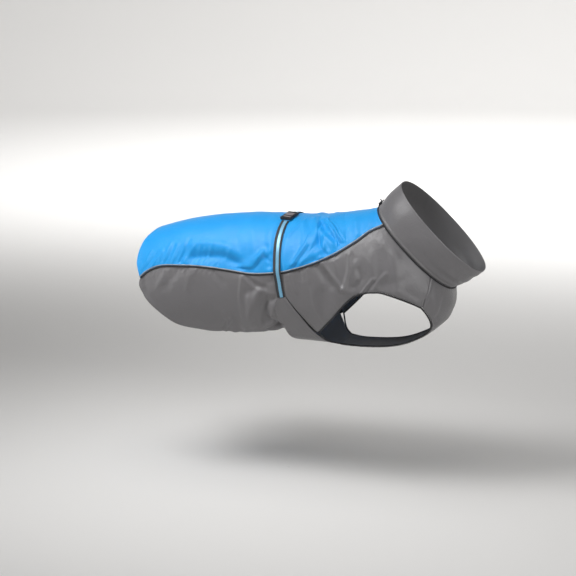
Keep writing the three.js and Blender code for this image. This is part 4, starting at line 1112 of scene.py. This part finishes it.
# Stand collar: doubled cloth with a soft fold at its top edge
standCollar = {
    "napeX": 47, "napeZ": 54, "throatX": 60, "throatZ": 37, "topHalf": 93, "roll": 3, "wall": 2,
    "start": 0.008,
    "creases": [
        {"turn": 138, "spread": 34, "up": 0.3, "width": 0.13, "height": -2.2},
        {"turn": 150, "spread": 30, "up": 0.62, "width": 0.14, "height": -2},
        {"turn": 222, "spread": 34, "up": 0.36, "width": 0.14, "height": -2},
        {"turn": 208, "spread": 26, "up": 0.7, "width": 0.13, "height": -1.7},
        {"turn": 52, "spread": 18, "up": 0.5, "width": 0.5, "height": 1.6},
        {"turn": 318, "spread": 20, "up": 0.45, "width": 0.5, "height": 1.4},
    ],
    "smallCreases": [
        {"turn": 146, "spread": 26, "up": 0.18, "width": 0.05, "height": 1.4},
        {"turn": 152, "spread": 22, "up": 0.44, "width": 0.06, "height": 1.7},
        {"turn": 162, "spread": 26, "up": 0.8, "width": 0.06, "height": 1.4},
        {"turn": 205, "spread": 26, "up": 0.5, "width": 0.06, "height": 1.5},
        {"turn": 188, "spread": 18, "up": 0.27, "width": 0.05, "height": 1.2},
        {"turn": 96, "spread": 13, "up": 0.75, "width": 0.25, "height": 1.2},
        {"turn": 74, "spread": 7, "up": 0.35, "width": 0.4, "height": -0.9},
        {"turn": 60, "spread": 6, "up": 0.6, "width": 0.5, "height": 0.8},
        {"turn": 118, "spread": 9, "up": 0.3, "width": 0.35, "height": -1.1},
        {"turn": 130, "spread": 8, "up": 0.5, "width": 0.4, "height": 1.0},
        {"turn": 36, "spread": 9, "up": 0.4, "width": 0.4, "height": -0.8},
        {"turn": 236, "spread": 10, "up": 0.4, "width": 0.35, "height": 1.1},
        {"turn": 262, "spread": 9, "up": 0.6, "width": 0.35, "height": -1.0},
        {"turn": 290, "spread": 12, "up": 0.4, "width": 0.4, "height": 0.9},
        {"turn": 334, "spread": 9, "up": 0.5, "width": 0.4, "height": -0.8},
    ],
}


def creaseHeight(crease, turn, up):
    aside = (turn - crease["turn"]) / crease["spread"]
    return crease["height"] * np.exp(-aside ** 2 - ((up - crease["up"]) / crease["width"]) ** 2)


def collarPoint(turn, up, lift):
    turn, up = np.broadcast_arrays(np.asarray(turn, float), np.asarray(up, float))
    base = bodyPoint(neckAt, turn)
    forward = (1 - np.cos(np.radians(turn))) / 2
    centre = (bodyPoint(neckAt, 0.0) + bodyPoint(neckAt, 180.0)) / 2
    radial = unit(base - centre)
    share = smooth(up, 0, 0.3)[..., None]
    outward = unit(bodyNormal(neckAt + 0 * turn, turn) * (1 - share) + radial * share)
    rise = np.stack([standCollar["napeX"] + (standCollar["throatX"] - standCollar["napeX"]) * forward,
                     0 * forward,
                     standCollar["napeZ"] + (standCollar["throatZ"] - standCollar["napeZ"]) * forward], -1)
    point = base + rise * up[..., None]
    point[..., 1] *= 1 + (standCollar["topHalf"] / coatBody["half"][-1] - 1) * up
    height = standCollar["roll"] * np.sin(np.pi * up)
    for crease in standCollar["creases"]:
        height = height + creaseHeight(crease, turn, up)
    fine = 0 * height
    for crease in standCollar["smallCreases"]:
        fine = fine + creaseHeight(crease, turn, up)
    held = np.sin(np.pi * np.clip(up, 0, 1)) ** 0.5
    return point + outward * ((height + fine) * held + lift)[..., None], outward


def makeCollar():
    turns = np.linspace(0, 360, 261)[:-1]
    ups = standCollar["start"] + (1 - standCollar["start"]) * spaced(73, 2.1)
    turn, up = np.meshgrid(turns, ups, indexing="ij")
    flat, outward = collarPoint(turn, up, 0.0)
    length = runLengths(flat, 1)
    away = length[:, -1:] - length
    around = runLength(flat[:, 0])[:, None] + 0 * length
    lift = 0.2 + edgeHeight("neck", length, around, 21)
    lift = lift + uneven(flat, 0.8) * smooth(length, 0, 10) * smooth(away, 0, 8)
    lift = lift - 0.9 * (1 - smooth(away, 0, 1.6))
    outer = flat + outward * (standCollar["wall"] + lift)[..., None]
    inner = flat + outward * (0.15 + 0.7 * (1 - smooth(away, 0, 1.6)) + 0.4 * uneven(flat, 0.8))[..., None]
    forms["collar"] = {"outer": outer, "inner": inner, "outward": outward, "u": around, "v": length}
    pieces["collar"] = shellMesh("standCollar", forms["collar"], [greyNylon, greyReverse], ring=True)


makeBack()
for side in ("Right", "Left"):
    makeSideRear(side)
    makeSideFront(side)
makeChest()
makeBelly()
makeCollar()
print("cloth made")


# Trim along the side seams and round the leg openings
trim = {
    "lift": cloth["wall"] + cloth["gap"] + 0.45,
    "pipingRadius": 1.1,
    "tapeWidth": 3.4,
    "tapeHeight": 0.9,
    "bindingRadius": 1.7,
}


def clothPoint(at, turn, lift):
    return bodyPoint(at, turn) + bodyNormal(at, turn) * (foldHeight(at, turn) + lift)[..., None]


def makeSeamTrim(side):
    letter = side[0]
    own, sign = (sideSeam, 1) if side == "Right" else (mirroredEdge(sideSeam), -1)
    shares = np.linspace(0.004, 0.998, 300)
    rows = own(shares)
    points = clothPoint(rows[:, 0], rows[:, 1], trim["lift"] + 0 * shares)
    ups = bodyNormal(rows[:, 0], rows[:, 1])
    radius = trim["pipingRadius"]
    round_ = roundSection(radius, 12, -sign * (radius + 0.2), radius)
    piping = sweepMesh("piping" + side, points, ups, round_, [reflectiveCloth],
                       uvAcross=np.arange(12) * 2 * math.pi * radius / 12)
    low = sign * 0.2
    high = sign * (0.2 + trim["tapeWidth"])
    flat = softRectangle(min(low, high), max(low, high), -0.9, trim["tapeHeight"] - 0.1, 0.42)
    tape = sweepMesh("seamTape" + side, points, ups, flat, [blackTape])
    for piece, node, slot in ((piping, "side_piping_" + letter, "reflective"),
                              (tape, "side_tape_" + letter, "black_tape")):
        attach(piece, "root")
        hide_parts(node)
    return [piping, tape]


def makeBinding(side):
    own, sign = onSide(side), (1 if side == "Right" else -1)
    bandEdge = reversedEdge(part(bandFront, bandStart, bandCorner))
    stretches = [(armholeEdge, 130, 0), (chestFree, 130, 0), (bandEdge, 40, 1)]
    points, ups = [], []
    for curve, count, overlapping in stretches:
        shares = np.linspace(0, 1, count, endpoint=False)
        rows = own(curve)(shares)
        lift = cloth["wall"] / 2 + (overlapLift(rows[:, 1]) if overlapping else 0 * shares)
        points.append(clothPoint(rows[:, 0], rows[:, 1], lift))
        ups.append(bodyNormal(rows[:, 0], rows[:, 1]))
    points, ups = np.vstack(points), np.vstack(ups)
    radius = trim["bindingRadius"]
    section = roundSection(radius, 12, sign * (radius + 0.2), 0.1, 0.9)
    piece = sweepMesh("legBinding" + side, points, ups, section, [blackTape], ring=True,
                      uvAcross=np.arange(12) * 2 * math.pi * radius / 12)
    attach(piece, "root")
    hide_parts("leg_binding_" + side[0])
    # Black strip along the front panel's corner edge: painted shade, filling the open gap between belly band
    # and side panel with the dark of the shade inside it
    corner = own(edge(places["sideFrontCorner"]))(np.linspace(0.02, 0.995, 60))
    points = clothPoint(corner[:, 0], corner[:, 1], cloth["wall"] / 2 + 0 * corner[:, 0])
    ups = bodyNormal(corner[:, 0], corner[:, 1])
    low, high = sorted((-0.8 * sign, 5.5 * sign))
    flat = softRectangle(low, high, -0.5, 0.5, 0.3)
    gapShade = sweepMesh("cornerGapShade" + side, points, ups, flat, [blackTape])
    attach(gapShade, "root")
    return [piece, gapShade]


seamTrim = {side: makeSeamTrim(side) for side in ("Right", "Left")}
bindings = {side: makeBinding(side) for side in ("Right", "Left")}
print("trim made")


# Girth strap: webbing with a reflective strip, one length on each side of the buckle
strapLook = {"stripWidth": 6.6, "stripShift": 1.3, "stripThick": 0.45}
buckle = {"turn": 12.7, "x": 11.5, "lean": 11, "length": 39}


def strapCurve(share):
    turns = girthStrap["endTurn"] * np.asarray(share, float)
    rows = [atX(float(strapX(turn)), turn)[0] for turn in turns]
    return np.stack([np.array(rows), turns], -1)


strapSeamTurn = places["underStrap"][0][1]
buckleAt = atX(buckle["x"], buckle["turn"])[0]
buckleHalfTurn = (buckle["length"] / 2 + cloth["gap"]) / float(girthStep(buckleAt))


def makeStrap(side):
    sign = 1 if side == "Right" else -1
    shares = np.linspace((buckleHalfTurn + sign * buckle["turn"]) / girthStrap["endTurn"], 1, 110)
    rows = strapCurve(shares)
    fromSeam = (girthStrap["endTurn"] * np.abs(shares) - strapSeamTurn) * math.radians(coatBody["half"][5])
    rise = girthStrap["rise"] * np.exp(-(fromSeam / girthStrap["riseLength"]) ** 2)
    lift = cloth["wall"] + cloth["gap"] + 0.25 + rise
    turns = rows[:, 1] * sign
    points, ups = clothPoint(rows[:, 0], turns, lift), bodyNormal(rows[:, 0], turns)
    half, thick = girthStrap["width"] / 2, girthStrap["thick"]
    flat = softRectangle(-half, half, 0, thick, 0.6)
    webbing = sweepMesh("strap" + side, points, ups, flat, [blackWebbing])
    middle, wide = -sign * strapLook["stripShift"], strapLook["stripWidth"] / 2
    top = thick + strapLook["stripThick"]
    flat = softRectangle(middle - wide, middle + wide, thick - 0.1, top, 0.2)
    strip = sweepMesh("strapStrip" + side, points, ups, flat, [strapStripe])
    rowsOfThread = [(points + np.cross(unit(np.gradient(points, axis=0)), ups) * (middle + k * (wide - 0.7))
                     + ups * top, ups) for k in (-1, 1)]
    thread = stitchRows("strapThread" + side, rowsOfThread, threadBlue)
    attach(webbing, "root")
    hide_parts("strap_" + side[0])
    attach(strip, "root")
    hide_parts("strap_strip_" + side[0])


for side in ("Right", "Left"):
    makeStrap(side)


# Topstitching on the hems and flaps, then the sheets are declared: each is attached to the root and its CAD
# node hidden
def stitchEdges(key, name, sides, finish):
    rows = [lineInside(forms[key], side, distance, ends) for side, distance, ends in sides]
    return stitchRows(name + "Stitching", rows, finish)


inset, strapInset = stitching["inset"], stitching["strapInset"]
stitched = {
    "back": stitchEdges("back", "back", [("start", inset, (2, 2))], threadBlue),
    "belly": stitchEdges("belly", "belly", [("first", inset, (2, 2)), ("last", inset, (2, 2))], threadGrey),
}
for side in ("Right", "Left"):
    rear, front = "sideRear" + side, "sideFront" + side
    rows = [("last", inset, (2, 12)), ("start", inset, (3, 4))]
    stitched[rear] = stitchEdges(rear, rear, rows, threadGrey)
    stitched[front] = stitchEdges(front, front, [("start", strapInset, (60, 4))], threadGrey)

declareSheet(pieces["back"], ["back_panel"])
for side in ("Right", "Left"):
    rear, front = "sideRear" + side, "sideFront" + side
    declareSheet(pieces[rear], ["side_rear_" + side[0]])
    declareSheet(pieces[front], ["side_front_" + side[0]])
declareSheet(pieces["chest"], ["chest_panel"])
declareSheet(pieces["belly"], ["belly_panel"])
declareSheet(pieces["collar"], ["collar"])
print("sheets declared")


# Moulded fittings: the solids with rounded edges, and a raised pad on each half of the buckle, coloured
# light grey as a painted reflection of the sky on the black plastic's top faces
moulding = {
    "edge": 0.4,  # rounding of the edges
    "faces": [
        {"name": "socketSheenPad", "width": 18.5, "from": -4.4, "to": 9.2, "low": 6.0, "high": 6.95,
         "round": 2.2},
        {"name": "plugSheenPad", "width": 17.5, "from": -12.4, "to": -7.7, "low": 5.2, "high": 6.1,
         "round": 1.2},
    ],
    "faceEdge": 0.5,
    "crown": 0.35,
}
sharpCorner = math.radians(40)


def roundedFitting(name, node):
    shape = bmesh.new()
    shape.from_mesh(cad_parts[node].data)
    bmesh.ops.remove_doubles(shape, verts=shape.verts, dist=0.000002)
    bmesh.ops.dissolve_limit(shape, angle_limit=math.radians(1), verts=shape.verts, edges=shape.edges)
    inner = [own for own in shape.edges if len(own.link_faces) == 2]
    sharp = [own for own in inner if own.calc_face_angle() > sharpCorner]
    bmesh.ops.bevel(shape, geom=sharp, offset=moulding["edge"] * toMetres, segments=2, profile=0.6,
                    affect="EDGES", clamp_overlap=True)
    mesh = bpy.data.meshes.new(name)
    shape.to_mesh(mesh)
    shape.free()
    smoothShaded(mesh)
    mesh.set_sharp_from_angle(angle=math.radians(38))
    mesh.materials.append(blackPlastic)
    piece = addObject(name, mesh)
    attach(piece, "root")
    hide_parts(node)
    return piece


# Each pad's light grey colour is a painted reflection on the buckle's top face
def makeBuckleSheenPad(face):
    at, turn = buckleAt, buckle["turn"]
    up = bodyNormal(at, turn)
    ridgeward = unit(bodyPoint(at, turn - 1.0) - bodyPoint(at, turn + 1.0))
    lean = math.radians(-buckle["lean"])
    along = ridgeward * math.cos(lean) + np.cross(up, ridgeward) * math.sin(lean)
    across = np.cross(along, up)
    centre = bodyPoint(at, turn) + up * (cloth["wall"] + cloth["gap"] + 0.1)
    half = face["width"] / 2
    high, bevel, crown = face["high"], moulding["faceEdge"], moulding["crown"]
    levels = [(0, face["low"]), (0, high - bevel), (0.3 * bevel, high - 0.3 * bevel), (bevel, high),
              (1.6, high + 0.7 * crown), (2.2, high + crown)]
    rings = []
    for inset, height in levels:
        outline = softRectangle(-half + inset, half - inset, face["from"] + inset, face["to"] - inset,
                                max(face["round"] - inset, 0.1), 6)
        rings.append(centre + across * outline[:, :1] + along * outline[:, 1:] + up * height)
    size = len(rings[0])
    faces = [[k * size + j, k * size + (j + 1) % size, (k + 1) * size + (j + 1) % size, (k + 1) * size + j]
             for k in range(len(rings) - 1) for j in range(size)]
    vertices = np.vstack(rings)
    if signedVolume(vertices, faces) < 0:
        faces = [own[::-1] for own in faces]
        caps = [list(range(size)), list(range(len(vertices) - size, len(vertices)))[::-1]]
    else:
        caps = [list(range(size))[::-1], list(range(len(vertices) - size, len(vertices)))]
    piece = finishMesh(face["name"], vertices, faces + caps, [paintedSheenPlastic])
    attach(piece, "root")


for name, node in (("buckleSocket", "buckle_socket"), ("bucklePlug", "buckle_plug")):
    roundedFitting(name, node)
for face in moulding["faces"]:
    makeBuckleSheenPad(face)
makeDrawcord(roundedFitting("cordLock", "cord_lock"))
print("fittings made")


# Floor and studio light
studio = {
    "floor": -0.555,
    "flat": 9.0,  # metres of level floor before the sweep rises
    "sweep": 3.0,
    "wall": 3.0,
    "world": 0.08,
    "sky": {"strength": 0.74, "angle": 50, "from": (-0.1, -0.15, 1)},
    "lights": [
        {"name": "key", "at": (-0.55, -0.65, 1.2), "size": 0.7, "power": 5.3, "aim": (0, 0, -0.12),
         "spread": 90},
        {"name": "fill", "at": (1.4, -1.1, 0.3), "size": 0.5, "power": 2.5, "aim": (0.2, 0, -0.1),
         "spread": 90},
        {"name": "rake", "at": (-1.25, -0.75, 0.05), "size": 0.4, "power": 0.9, "aim": (-0.05, -0.1, -0.17),
         "spread": 90},
        {"name": "backdrop", "at": (0, 4.5, 3.5), "size": 6, "power": 420, "aim": (0, 8, 0.2),
         "spread": 180},
    ],
}


def makeStudio():
    scene = bpy.context.scene
    bend = np.radians(np.linspace(0, 90, 16))
    reach = np.concatenate([[0.001, studio["flat"] / 2], studio["flat"] + studio["sweep"] * np.sin(bend)])
    rise = np.concatenate([[0, 0], studio["sweep"] * (1 - np.cos(bend))])
    reach, rise = np.append(reach, reach[-1]), np.append(rise, rise[-1] + studio["wall"])
    around = np.linspace(0, 2 * math.pi, 97)[:-1]
    rim = np.stack(np.broadcast_arrays(np.cos(around)[:, None] * reach, np.sin(around)[:, None] * reach,
                                       studio["floor"] + rise), -1) / toMetres
    index = np.arange(rim.shape[0] * rim.shape[1]).reshape(rim.shape[:2])
    after = np.roll(index, -1, 0)
    faces = np.stack([index[:, :-1], index[:, 1:], after[:, 1:], after[:, :-1]], -1).reshape(-1, 4)[:, ::-1]
    floor = finishMesh("floor", rim.reshape(-1, 3), faces.tolist(), [])
    pale = bpy.data.materials.new("paleFloor")
    pale.use_nodes = True
    pale.node_tree.nodes["Principled BSDF"].inputs["Base Color"].default_value = (0.8, 0.79, 0.775, 1)
    pale.node_tree.nodes["Principled BSDF"].inputs["Roughness"].default_value = 0.9
    floor.data.materials.append(pale)
    world = bpy.data.worlds.new("studio")
    scene.world = world
    world.use_nodes = True
    world.node_tree.nodes["Background"].inputs["Color"].default_value = (1, 1, 1, 1)
    world.node_tree.nodes["Background"].inputs["Strength"].default_value = studio["world"]
    sky = bpy.data.lights.new("sky", "SUN")
    sky.energy = studio["sky"]["strength"]
    sky.angle = math.radians(studio["sky"]["angle"])
    skyLight = addObject("sky", sky)
    skyLight.rotation_euler = (-Vector(studio["sky"]["from"])).to_track_quat("-Z", "Y").to_euler()
    for lamp in studio["lights"]:
        data = bpy.data.lights.new(lamp["name"], "AREA")
        data.size = lamp["size"]
        data.energy = lamp["power"]
        data.spread = math.radians(lamp["spread"])
        light = addObject(lamp["name"], data)
        light.location = lamp["at"]
        aim = Vector(lamp["aim"]) - Vector(lamp["at"])
        light.rotation_euler = aim.to_track_quat("-Z", "Y").to_euler()
    scene.view_settings.view_transform = "Standard"


makeStudio()
print("studio made")
